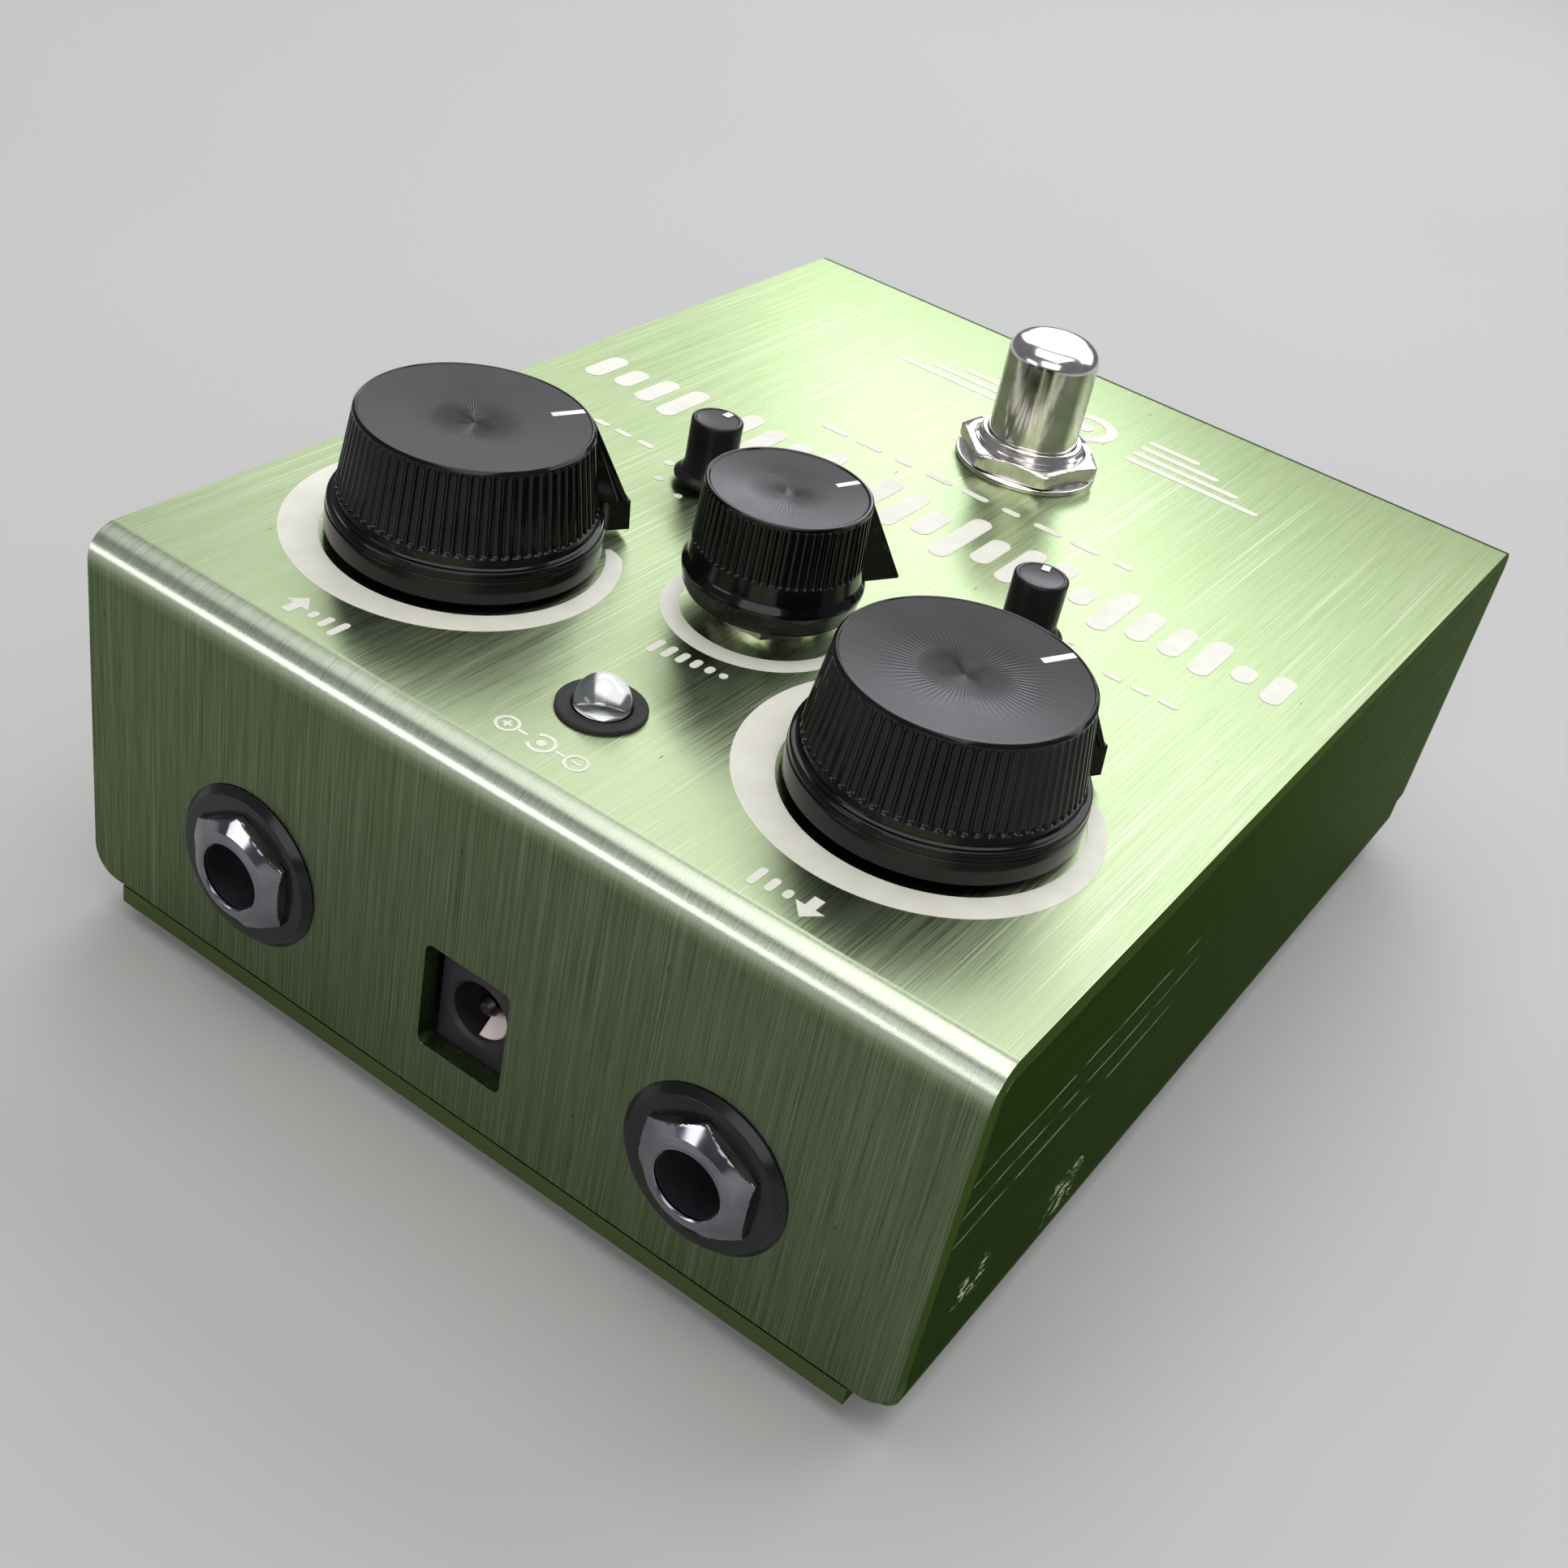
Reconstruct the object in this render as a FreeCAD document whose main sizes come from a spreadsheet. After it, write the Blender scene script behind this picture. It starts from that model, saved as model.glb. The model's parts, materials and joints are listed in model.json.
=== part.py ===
"""Guitar effects pedal: a folded aluminium box with five rotary controls, a foot switch and two jacks.

Millimetres, +Z up. The origin is on the surface that the pedal stands on, under the middle of the box.
+Y is the rear wall with the jacks, -Y faces the player, +X is the input side.
"""
import FreeCAD, Part
import math
import os

import Sketcher

DIMENSIONS = {
    # the folded box
    "enclosure_width": 96.0,
    "enclosure_depth": 122.0,
    "enclosure_height": 40.7,
    "sheet_thickness": 2.0,
    "cover_bend_radius": 3.1,
    "cover_corner_radius": 3.0,
    "tray_bend_radius": 2.5,
    "plate_corner_radius": 1.2,
    "sheet_gap": 0.15,
    "tongue_width": 88.0,
    # feet and base screws
    "foot_height": 2.5,
    "foot_radius": 6.0,
    "foot_offset_x": 36.0,
    "foot_offset_y": 43.0,
    "screw_offset_x": 42.0,
    "screw_offset_y": 54.0,
    "screw_radius": 1.5,
    "screw_head_radius": 2.9,
    "screw_length": 8.0,
    "screw_hole_diameter": 3.4,
    "countersink_diameter": 6.0,
    "standoff_across_flats": 5.5,
    # circuit boards
    "board_thickness": 1.6,
    "main_board_top": 32.6,
    "main_board_width": 75.0,
    "main_board_depth": 65.0,
    "main_board_y": 20.5,
    "jack_board_top": 9.0,
    "jack_board_width": 72.0,
    "jack_board_depth": 29.5,
    "switch_board_top": 15.5,
    # rotary controls
    "main_knob_x": 26.4,
    "main_knob_y": 35.3,
    "tone_knob_y": 22.8,
    "trim_knob_x": 19.2,
    "trim_knob_y": 6.3,
    "main_pointer_angle": -120.0,
    "tone_pointer_angle": -118.0,
    "left_trim_angle": -75.0,
    "right_trim_angle": -92.0,
    "pot_width": 9.8,
    "pot_depth": 11.6,
    "pot_housing_height": 7.0,
    "pot_plate_thickness": 1.0,
    "pot_cavity_radius": 4.2,
    "pot_bushing_radius": 3.5,
    "pot_bushing_rise": 3.2,
    "pot_panel_hole_radius": 3.7,
    "pot_nut_across_flats": 10.0,
    "pot_nut_thickness": 2.0,
    "pot_washer_radius": 5.2,
    "pot_washer_thickness": 0.5,
    "shaft_radius": 3.0,
    "shaft_rise": 10.3,
    "running_clearance": 0.06,
    "press_clearance": 0.02,
    # large knobs, heights above the panel
    "main_knob_radius": 12.97,
    "main_knob_top_radius": 11.0,
    "main_knob_height": 13.0,
    "main_knob_lift": 0.85,
    "main_knob_flutes": 72,
    "main_fin_reach": 16.2,
    "main_fin_thickness": 2.8,
    # tone knob
    "tone_knob_radius": 8.6,
    "tone_knob_top_radius": 7.75,
    "tone_knob_height": 13.4,
    "tone_knob_lift": 2.5,
    "tone_knob_flutes": 66,
    "tone_fin_reach": 13.3,
    "tone_fin_thickness": 2.4,
    "knob_cavity_radius": 6.4,
    # trim controls
    "trim_housing_width": 6.8,
    "trim_housing_height": 5.0,
    "trim_rotor_radius": 2.3,
    "trim_stem_radius": 1.5,
    "trim_panel_hole_radius": 2.1,
    "trim_knob_radius": 2.68,
    "trim_knob_flare_radius": 3.6,
    "trim_knob_height": 7.25,
    "trim_knob_lift": 0.6,
    # status lamp
    "lamp_y": 47.0,
    "lamp_radius": 2.5,
    "lamp_dome_rise": 0.78,
    "lamp_flange_radius": 2.9,
    "bezel_radius": 4.04,
    "bezel_barrel_radius": 3.1,
    "bezel_rise": 0.5,
    "bezel_hole_radius": 3.2,
    # foot switch
    "footswitch_y": -28.4,
    "footswitch_width": 17.5,
    "footswitch_body_top": 34.1,
    "footswitch_body_height": 13.5,
    "bushing_radius": 6.0,
    "bushing_rise": 3.6,
    "bushing_hole_radius": 6.15,
    "plunger_radius": 5.0,
    "plunger_clearance": 0.08,
    "plunger_rise": 14.8,
    "plunger_bottom": 41.0,
    "plunger_shoulder": 2.2,
    "stem_radius": 2.0,
    "stem_bottom": 28.0,
    "spring_radius": 3.6,
    "spring_wire_radius": 0.35,
    "spring_turns": 5,
    "switch_nut_across_flats": 14.0,
    "switch_nut_thickness": 1.95,
    "switch_washer_radius": 8.0,
    "switch_washer_thickness": 0.5,
    # jacks
    "jack_x": 26.55,
    "jack_z": 17.55,
    "jack_width": 16.0,
    "jack_length": 28.5,
    "jack_bore_radius": 3.25,
    "jack_bore_depth": 31.2,
    "jack_bushing_radius": 4.5,
    "jack_bushing_rise": 2.2,
    "jack_panel_hole_radius": 4.7,
    "jack_washer_radius": 8.3,
    "jack_washer_thickness": 0.84,
    "jack_nut_across_flats": 11.0,
    "jack_nut_thickness": 1.76,
    # DC inlet
    "inlet_z": 15.5,
    "inlet_width": 9.0,
    "inlet_depth": 14.3,
    "inlet_height": 11.0,
    "inlet_bore_radius": 3.1,
    "inlet_bore_depth": 9.5,
    "inlet_pin_radius": 1.05,
    "window_width": 9.7,
    "window_bottom": 10.4,
    "window_top": 22.1,
    "window_corner_radius": 0.8,
    # links between the boards
    "ribbon_width": 10.0,
    "ribbon_thickness": 0.9,
    "ribbon_start_y": -17.0,
    "ribbon_end_y": -8.0,
    "ribbon_lead": 3.25,
    "ribbon_bend_radius": 3.5,
    "header_y": 35.0,
    "header_pitch": 2.54,
    "header_pins": 8,
}


class Size:
    """A length kept both as a number and as the sheet expression that gives it."""

    def __init__(self, value, text=None):
        self.value = float(value)
        self.text = text or f"({self.value})"

    def join(self, sign, other, value):
        return Size(value, f"({self.text} {sign} {other.text})")

    def __add__(self, other):
        other = as_size(other)
        return self.join("+", other, self.value + other.value)

    def __sub__(self, other):
        other = as_size(other)
        return self.join("-", other, self.value - other.value)

    def __mul__(self, other):
        other = as_size(other)
        return self.join("*", other, self.value * other.value)

    def __truediv__(self, other):
        other = as_size(other)
        return self.join("/", other, self.value / other.value)

    def __radd__(self, other):
        return as_size(other) + self

    def __rsub__(self, other):
        return as_size(other) - self

    def __rmul__(self, other):
        return as_size(other) * self

    def __neg__(self):
        return self * -1


def as_size(number):
    return number if isinstance(number, Size) else Size(number)


class Dimensions:
    """The driving dimensions by name, each one tied to its cell of the sheet."""

    def __getattr__(self, alias):
        return Size(DIMENSIONS[alias], f"Dimensions.{alias}")


DOC = FreeCAD.newDocument("guitar_effects_pedal")
DIM = Dimensions()
SUBPARTS = []

# Levels worked out from the driving dimensions.
BASE = DIM.foot_height
FLOOR_TOP = BASE + DIM.sheet_thickness
PANEL_TOP = BASE + DIM.enclosure_height
PANEL_UNDER = PANEL_TOP - DIM.sheet_thickness
HALF_WIDTH = DIM.enclosure_width / 2
HALF_DEPTH = DIM.enclosure_depth / 2
INNER_DEPTH = HALF_DEPTH - DIM.sheet_thickness
BOARD_TOP = DIM.main_board_top
POT_PLATE_BOTTOM = BOARD_TOP + DIM.pot_housing_height
POT_PLATE_TOP = POT_PLATE_BOTTOM + DIM.pot_plate_thickness
SHAFT_BORE = DIM.shaft_radius + DIM.running_clearance

POT_CENTRES = {
    "gain": (DIM.main_knob_x, DIM.main_knob_y),
    "level": (-DIM.main_knob_x, DIM.main_knob_y),
    "tone": (Size(0), DIM.tone_knob_y),
}
TRIM_CENTRES = {
    "right": (DIM.trim_knob_x, DIM.trim_knob_y),
    "left": (-DIM.trim_knob_x, DIM.trim_knob_y),
}
SIDES = (-1, 1)
CORNERS = [(side, end) for side in SIDES for end in SIDES]
ALONG_Y = (FreeCAD.Vector(1, 0, 0), -90)
ALONG_X = (FreeCAD.Vector(0, 1, 0), 90)


# ---------------------------------------------------------------- building helpers

def fill_sheet():
    """Write every driving dimension into the spreadsheet under its alias."""
    sheet = DOC.addObject("Spreadsheet::Sheet", "Dimensions")
    for row, (alias, value) in enumerate(DIMENSIONS.items(), start=1):
        sheet.set(f"A{row}", alias)
        sheet.set(f"B{row}", str(value))
        sheet.setAlias(f"B{row}", alias)
    DOC.recompute()


def bind(thing, prop, size):
    thing.setExpression(prop, as_size(size).text)


def place(thing, x=0, y=0, z=0, turn=None):
    """Put a piece at (x, y, z), after turning it by the angle turn[1] about the axis turn[0]."""
    if turn:
        thing.Placement = FreeCAD.Placement(FreeCAD.Vector(), FreeCAD.Rotation(turn[0], 1))
        bind(thing, "Placement.Rotation.Angle", turn[1])
    for axis, size in zip("xyz", (x, y, z)):
        bind(thing, f"Placement.Base.{axis}", size)
    return thing


def keep(thing, label):
    """Make the thing a sub-part of the pedal, with its own name."""
    thing.Label = label
    SUBPARTS.append(thing)
    return thing


def box(size_x, size_y, size_z, x=0, y=0, z=0):
    """A block centred on (x, y) and standing on z."""
    solid = DOC.addObject("Part::Box", "block")
    bind(solid, "Length", size_x)
    bind(solid, "Width", size_y)
    bind(solid, "Height", size_z)
    return place(solid, x - as_size(size_x) / 2, y - as_size(size_y) / 2, z)


def cylinder(radius, height, x=0, y=0, z=0, turn=None):
    solid = DOC.addObject("Part::Cylinder", "round")
    bind(solid, "Radius", radius)
    bind(solid, "Height", height)
    return place(solid, x, y, z, turn)


def fuse(*solids):
    joined = DOC.addObject("Part::MultiFuse", "fused")
    joined.Shapes = list(solids)
    return joined


def cut(base, tool):
    remainder = DOC.addObject("Part::Cut", "cut")
    remainder.Base = base
    remainder.Tool = tool
    return remainder


def group(label, solids):
    """Several separate solids under one name."""
    together = DOC.addObject("Part::Compound", label)
    together.Links = list(solids)
    return keep(together, label)


def tube(outer, inner, height, x=0, y=0, z=0, turn=None):
    ring = cut(cylinder(outer, height), cylinder(inner, height))
    return place(ring, x, y, z, turn)


def new_body(name):
    return DOC.addObject("PartDesign::Body", name)


def origin_feature(body, role):
    return next(feature for feature in body.Origin.OriginFeatures if feature.Role == role)


def new_sketch(body, plane, name, offset=None):
    """A sketch on one of the body's origin planes, lifted off it by the offset."""
    sketch = body.newObject("Sketcher::SketchObject", name)
    sketch.AttachmentSupport = [(origin_feature(body, plane), "")]
    sketch.MapMode = "FlatFace"
    if offset is not None:
        bind(sketch, "AttachmentOffset.Base.z", offset)
    return sketch


def pin_point(sketch, edge, point, x, y):
    """Hold one point of an edge at (x, y): on an axis where a coordinate is nought."""
    for kind, size, axis in (("DistanceX", as_size(x), -2), ("DistanceY", as_size(y), -1)):
        if size.value == 0:
            sketch.addConstraint(Sketcher.Constraint("PointOnObject", edge, point, axis))
            continue
        number = sketch.addConstraint(Sketcher.Constraint(kind, -1, 1, edge, point, size.value))
        bind(sketch, f"Constraints[{number}]", size)


def draw_outline(sketch, points):
    """A closed outline of straight edges with every corner bound to the sheet."""
    first = sketch.GeometryCount
    count = len(points)
    corners = [FreeCAD.Vector(as_size(x).value, as_size(y).value, 0) for x, y in points]
    for number in range(count):
        sketch.addGeometry(Part.LineSegment(corners[number], corners[(number + 1) % count]))
    for number in range(count):
        following = first + (number + 1) % count
        sketch.addConstraint(Sketcher.Constraint("Coincident", first + number, 2, following, 1))
    for number, (x, y) in enumerate(points):
        pin_point(sketch, first + number, 1, x, y)


def draw_circle(sketch, radius, x=0, y=0):
    centre = FreeCAD.Vector(as_size(x).value, as_size(y).value, 0)
    radius = as_size(radius)
    edge = sketch.addGeometry(Part.Circle(centre, FreeCAD.Vector(0, 0, 1), radius.value))
    number = sketch.addConstraint(Sketcher.Constraint("Radius", edge, radius.value))
    bind(sketch, f"Constraints[{number}]", radius)
    pin_point(sketch, edge, 3, x, y)


def draw_rectangle(sketch, width, height, x=0, y=0):
    left, right = x - as_size(width) / 2, x + as_size(width) / 2
    low, high = y - as_size(height) / 2, y + as_size(height) / 2
    draw_outline(sketch, [(left, low), (right, low), (right, high), (left, high)])


def hexagon(across_flats, corner_angle=0.0):
    """Corners of a hexagon, the first one at the corner angle in degrees."""
    circumradius = across_flats / 2 / math.cos(math.radians(30))
    corners = []
    for number in range(6):
        angle = math.radians(corner_angle + 60 * number)
        corners.append((circumradius * math.cos(angle), circumradius * math.sin(angle)))
    return corners


def extrude(body, sketch, length, symmetric=False):
    pad = body.newObject("PartDesign::Pad", "pad")
    pad.Profile = sketch
    bind(pad, "Length", length)
    pad.SideType = "Symmetric" if symmetric else "One side"
    return pad


def pocket(body, sketch, depth=None, symmetric=False, towards_normal=False):
    """Cut the sketch out of the body: right through where no depth is given."""
    hollow = body.newObject("PartDesign::Pocket", "pocket")
    hollow.Profile = sketch
    if depth is None:
        hollow.Type = "ThroughAll"
    else:
        bind(hollow, "Length", depth)
    hollow.SideType = "Symmetric" if symmetric else "One side"
    hollow.Reversed = towards_normal
    return hollow


def edges_where(feature, test):
    """Names of the feature's edges whose middle passes the test."""
    edges = enumerate(feature.Shape.Edges, start=1)
    return [f"Edge{number}" for number, edge in edges if test(edge.CenterOfMass)]


def is_near(value, size, tolerance=0.05):
    return abs(value - size.value) < tolerance


def round_edges(body, radius, test):
    """Round the edges of the body's last feature whose middle passes the test."""
    DOC.recompute()
    last = body.Tip
    fillet = body.newObject("PartDesign::Fillet", "rounding")
    fillet.Base = (last, edges_where(last, test))
    bind(fillet, "Radius", radius)
    return fillet


def turned_body(name, profile):
    """A body turned about +Z from a closed profile of (radius, height) points."""
    body = new_body(name)
    sketch = new_sketch(body, "XZ_Plane", "profile")
    draw_outline(sketch, profile)
    turning = body.newObject("PartDesign::Revolution", "turning")
    turning.Profile = sketch
    turning.ReferenceAxis = (sketch, ["V_Axis"])
    turning.Angle = 360
    return body


def hex_nut(name, across_flats, bore_radius, thickness, bevel, corner_angle=0.0):
    """A hexagonal nut standing on z = 0, its upper corners turned off at a shallow angle."""
    body = new_body(name)
    plan = new_sketch(body, "XY_Plane", "plan")
    draw_outline(plan, hexagon(across_flats, corner_angle))
    draw_circle(plan, bore_radius)
    extrude(body, plan, thickness)
    circumradius = across_flats / 2 / math.cos(math.radians(30))
    overhang = circumradius + 1
    bevel_start = bore_radius + 0.25
    bevel_drop = (overhang - bevel_start) / (circumradius - bevel_start) * bevel
    section = new_sketch(body, "XZ_Plane", "bevel")
    draw_outline(section, [
        (bevel_start, thickness),
        (overhang, thickness - bevel_drop),
        (overhang, thickness + 1),
        (bevel_start, thickness + 1),
    ])
    groove = body.newObject("PartDesign::Groove", "bevelled_corners")
    groove.Profile = section
    groove.ReferenceAxis = (section, ["V_Axis"])
    groove.Angle = 360
    return body


# ---------------------------------------------------------------- the folded box

def make_cover():
    """Top panel with the front and rear walls, one folded sheet with all the control holes."""
    body = new_body("cover")
    sheet = DIM.sheet_thickness
    bottom = FLOOR_TOP + DIM.sheet_gap
    section = new_sketch(body, "YZ_Plane", "section")
    draw_outline(section, [
        (-HALF_DEPTH, bottom), (-HALF_DEPTH, PANEL_TOP), (HALF_DEPTH, PANEL_TOP), (HALF_DEPTH, bottom),
        (INNER_DEPTH, bottom), (INNER_DEPTH, PANEL_UNDER),
        (-INNER_DEPTH, PANEL_UNDER), (-INNER_DEPTH, bottom),
    ])
    extrude(body, section, DIM.enclosure_width, symmetric=True)
    round_edges(body, DIM.cover_bend_radius, lambda middle:
                is_near(abs(middle.y), HALF_DEPTH) and is_near(middle.z, PANEL_TOP))
    round_edges(body, DIM.cover_bend_radius - sheet, lambda middle:
                is_near(abs(middle.y), INNER_DEPTH) and is_near(middle.z, PANEL_UNDER))
    round_edges(body, DIM.cover_corner_radius, lambda middle:
                is_near(abs(middle.x), HALF_WIDTH) and is_near(middle.z, bottom))

    panel_holes = new_sketch(body, "XY_Plane", "panel_holes")
    for x, y in POT_CENTRES.values():
        draw_circle(panel_holes, DIM.pot_panel_hole_radius, x, y)
    for x, y in TRIM_CENTRES.values():
        draw_circle(panel_holes, DIM.trim_panel_hole_radius, x, y)
    draw_circle(panel_holes, DIM.bezel_hole_radius, 0, DIM.lamp_y)
    draw_circle(panel_holes, DIM.bushing_hole_radius, 0, DIM.footswitch_y)
    pocket(body, panel_holes, symmetric=True)

    rear_holes = new_sketch(body, "XZ_Plane", "rear_holes")
    for side in SIDES:
        draw_circle(rear_holes, DIM.jack_panel_hole_radius, side * DIM.jack_x, DIM.jack_z)
    window_height = DIM.window_top - DIM.window_bottom
    window_middle = (DIM.window_top + DIM.window_bottom) / 2
    draw_rectangle(rear_holes, DIM.window_width, window_height, 0, window_middle)
    pocket(body, rear_holes)
    round_edges(body, DIM.window_corner_radius, lambda middle:
                is_near(abs(middle.x), DIM.window_width / 2) and is_near(middle.y, HALF_DEPTH - sheet / 2)
                and abs(middle.z - window_middle.value) > window_height.value / 2 - 0.05)
    keep(body, "cover")


def make_base_tray():
    """Floor and side plates, one folded sheet, its floor reaching under the cover's two walls."""
    body = new_body("base_tray")
    sheet = DIM.sheet_thickness
    side_top = PANEL_UNDER - DIM.sheet_gap
    plate_end = INNER_DEPTH - DIM.sheet_gap
    inner_half = HALF_WIDTH - sheet
    section = new_sketch(body, "XZ_Plane", "section")
    draw_outline(section, [
        (-HALF_WIDTH, BASE), (HALF_WIDTH, BASE), (HALF_WIDTH, side_top), (inner_half, side_top),
        (inner_half, FLOOR_TOP), (-inner_half, FLOOR_TOP), (-inner_half, side_top), (-HALF_WIDTH, side_top),
    ])
    extrude(body, section, plate_end * 2, symmetric=True)
    round_edges(body, DIM.tray_bend_radius, lambda middle:
                is_near(abs(middle.x), HALF_WIDTH) and is_near(middle.z, BASE))
    round_edges(body, DIM.plate_corner_radius, lambda middle:
                is_near(abs(middle.y), plate_end) and is_near(middle.z, side_top))
    tongues = new_sketch(body, "XY_Plane", "tongues", BASE)
    draw_rectangle(tongues, DIM.tongue_width, DIM.enclosure_depth)
    extrude(body, tongues, sheet)
    DOC.recompute()

    centres = new_sketch(body, "XY_Plane", "screw_centres", BASE)
    hole_radius = DIM.screw_hole_diameter / 2
    for side, end in CORNERS:
        draw_circle(centres, hole_radius, side * DIM.screw_offset_x, end * DIM.screw_offset_y)
    DOC.recompute()
    hole = body.newObject("PartDesign::Hole", "countersunk_holes")
    hole.Profile = centres
    hole.Threaded = False
    hole.DepthType = "ThroughAll"
    hole.Reversed = True
    bind(hole, "Diameter", DIM.screw_hole_diameter)
    hole.HoleCutType = "Countersink"
    hole.HoleCutCustomValues = True
    bind(hole, "HoleCutDiameter", DIM.countersink_diameter)
    hole.HoleCutCountersinkAngle = 90
    keep(body, "base_tray")


def make_feet():
    feet = []
    for side, end in CORNERS:
        foot = turned_body("foot", [
            (0, 0), (DIM.foot_radius - 1.0, 0), (DIM.foot_radius - 0.4, 0.5),
            (DIM.foot_radius, DIM.foot_height), (0, DIM.foot_height),
        ])
        feet.append(place(foot, side * DIM.foot_offset_x, end * DIM.foot_offset_y))
    group("rubber_feet", feet)


def make_base_screws():
    """Countersunk screws with a hexagonal socket, heads flush with the floor's underside."""
    socket_across_flats = Size(2.0)
    head_height = DIM.screw_head_radius - DIM.screw_radius
    screws = []
    for side, end in CORNERS:
        screw = turned_body("screw", [
            (0, 0), (DIM.screw_head_radius, 0), (DIM.screw_radius, head_height),
            (DIM.screw_radius, DIM.screw_length), (0, DIM.screw_length),
        ])
        socket = new_sketch(screw, "XY_Plane", "socket")
        draw_outline(socket, hexagon(socket_across_flats))
        pocket(screw, socket, 1.2, towards_normal=True)
        screws.append(place(screw, side * DIM.screw_offset_x, end * DIM.screw_offset_y, BASE))
    group("base_screws", screws)


def make_standoffs():
    """Hexagonal posts fixed under the panel, which the base screws pull the floor against."""
    height = PANEL_UNDER - FLOOR_TOP
    posts = []
    for side, end in CORNERS:
        post = new_body("post")
        plan = new_sketch(post, "XY_Plane", "plan")
        draw_outline(plan, hexagon(DIM.standoff_across_flats))
        extrude(post, plan, height)
        thread = new_sketch(post, "XY_Plane", "thread")
        draw_circle(thread, DIM.screw_radius + DIM.running_clearance)
        pocket(post, thread, 10, towards_normal=True)
        posts.append(place(post, side * DIM.screw_offset_x, end * DIM.screw_offset_y, FLOOR_TOP))
    group("corner_standoffs", posts)


# ---------------------------------------------------------------- circuit boards and their parts

def make_boards():
    thickness = DIM.board_thickness
    main = box(DIM.main_board_width, DIM.main_board_depth, thickness,
               0, DIM.main_board_y, BOARD_TOP - thickness)
    keep(main, "main_board")
    jack_board_y = INNER_DEPTH - 0.5 - DIM.jack_board_depth / 2
    jack_board = box(DIM.jack_board_width, DIM.jack_board_depth, thickness,
                     0, jack_board_y, DIM.jack_board_top - thickness)
    keep(jack_board, "jack_board")
    switch_board = box(20, 24, thickness, 0, DIM.footswitch_y + 1, DIM.switch_board_top - thickness)
    keep(switch_board, "footswitch_board")


def make_board_header():
    """The pin strip that joins the jack board to the main board above it."""
    strip_height = Size(2.5)
    pins_bottom = DIM.jack_board_top + strip_height
    pins_height = BOARD_TOP - DIM.board_thickness - pins_bottom
    strip = box(DIM.header_pitch * DIM.header_pins, 2.5, strip_height, 0, DIM.header_y, DIM.jack_board_top)
    keep(strip, "board_header")
    pins = []
    for number in range(DIMENSIONS["header_pins"]):
        x = (number + 0.5 - DIM.header_pins / 2) * DIM.header_pitch
        pins.append(box(0.64, 0.64, pins_height, x, DIM.header_y, pins_bottom))
    group("header_pins", pins)


def make_ribbon_cable():
    """Flat cable from the foot switch board up to the main board, in two gentle bends."""
    start_z = DIM.switch_board_top
    end_z = BOARD_TOP - DIM.board_thickness
    lead = DIM.ribbon_lead
    points = [
        (DIM.ribbon_start_y, start_z),
        (DIM.ribbon_start_y, start_z + lead),
        (DIM.ribbon_end_y, end_z - lead),
        (DIM.ribbon_end_y, end_z),
    ]
    run = [FreeCAD.Vector(0, y.value, z.value) for y, z in points]
    climb = (run[2] - run[1]).normalize()
    upward = FreeCAD.Vector(0, 0, 1)
    turn = climb.getAngle(upward)
    setback = DIM.ribbon_bend_radius.value * math.tan(turn / 2)
    middle_gap = DIM.ribbon_bend_radius.value * (1 / math.cos(turn / 2) - 1)
    inward = (climb - upward).normalize()
    bends = []
    for corner, before, after, way in ((run[1], upward, climb, 1), (run[2], climb, upward, -1)):
        start = corner - before * setback
        middle = corner + inward * way * middle_gap
        bends.append((start, middle, corner + after * setback))
    edges = [
        Part.LineSegment(run[0], bends[0][0]).toShape(),
        Part.Arc(*bends[0]).toShape(),
        Part.LineSegment(bends[0][2], bends[1][0]).toShape(),
        Part.Arc(*bends[1]).toShape(),
        Part.LineSegment(bends[1][2], run[3]).toShape(),
    ]
    route = Part.Wire(edges)
    across = FreeCAD.Vector(DIM.ribbon_width.value / 2, 0, 0)
    through = FreeCAD.Vector(0, DIM.ribbon_thickness.value / 2, 0)
    corners = [run[0] - across - through, run[0] + across - through,
               run[0] + across + through, run[0] - across + through]
    section = Part.makePolygon(corners + corners[:1])
    swept = route.makePipeShell([section], True, True)
    expected = DIM.ribbon_width.value * DIM.ribbon_thickness.value * route.Length
    print(f"ribbon volume {swept.Volume:.2f}, section times length {expected:.2f}, "
          f"bend radius {DIM.ribbon_bend_radius.value}")
    cable = DOC.addObject("Part::Feature", "ribbon_cable")
    cable.Shape = swept
    keep(cable, "ribbon_cable")


def make_main_board_components():
    """The parts that stand on the main board, clear of the potentiometers."""
    level = BOARD_TOP
    chips = [box(9.5, 6.4, 3.4, x, 6, level) for x in (-8, 8)]
    chips.append(box(9.5, 6.4, 3.4, 0, -5, level))
    group("integrated_circuits", chips)
    cans = [cylinder(2.5, 7, x, y, level) for x in (-30, 30) for y in (4, 14)]
    group("electrolytic_capacitors", cans)
    films = [box(7.2, 2.5, 6.5, x, y, level) for x in (-13, 13) for y in (14.5, 18.5, 22.5)]
    group("film_capacitors", films)
    resistors = []
    for x in (-24, -12, 12, 24):
        for y in (44.5, 48, 51.5):
            resistors.append(cylinder(1.15, 6.3, x - 3.15, y, level + 1.15, ALONG_X))
    group("resistors", resistors)
    diodes = []
    for x in (-10, 10):
        for y in (31, 34):
            diodes.append(cylinder(0.95, 4.2, x - 2.1, y, level + 0.95, ALONG_X))
    group("diodes", diodes)


# ---------------------------------------------------------------- potentiometers and their knobs

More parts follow.
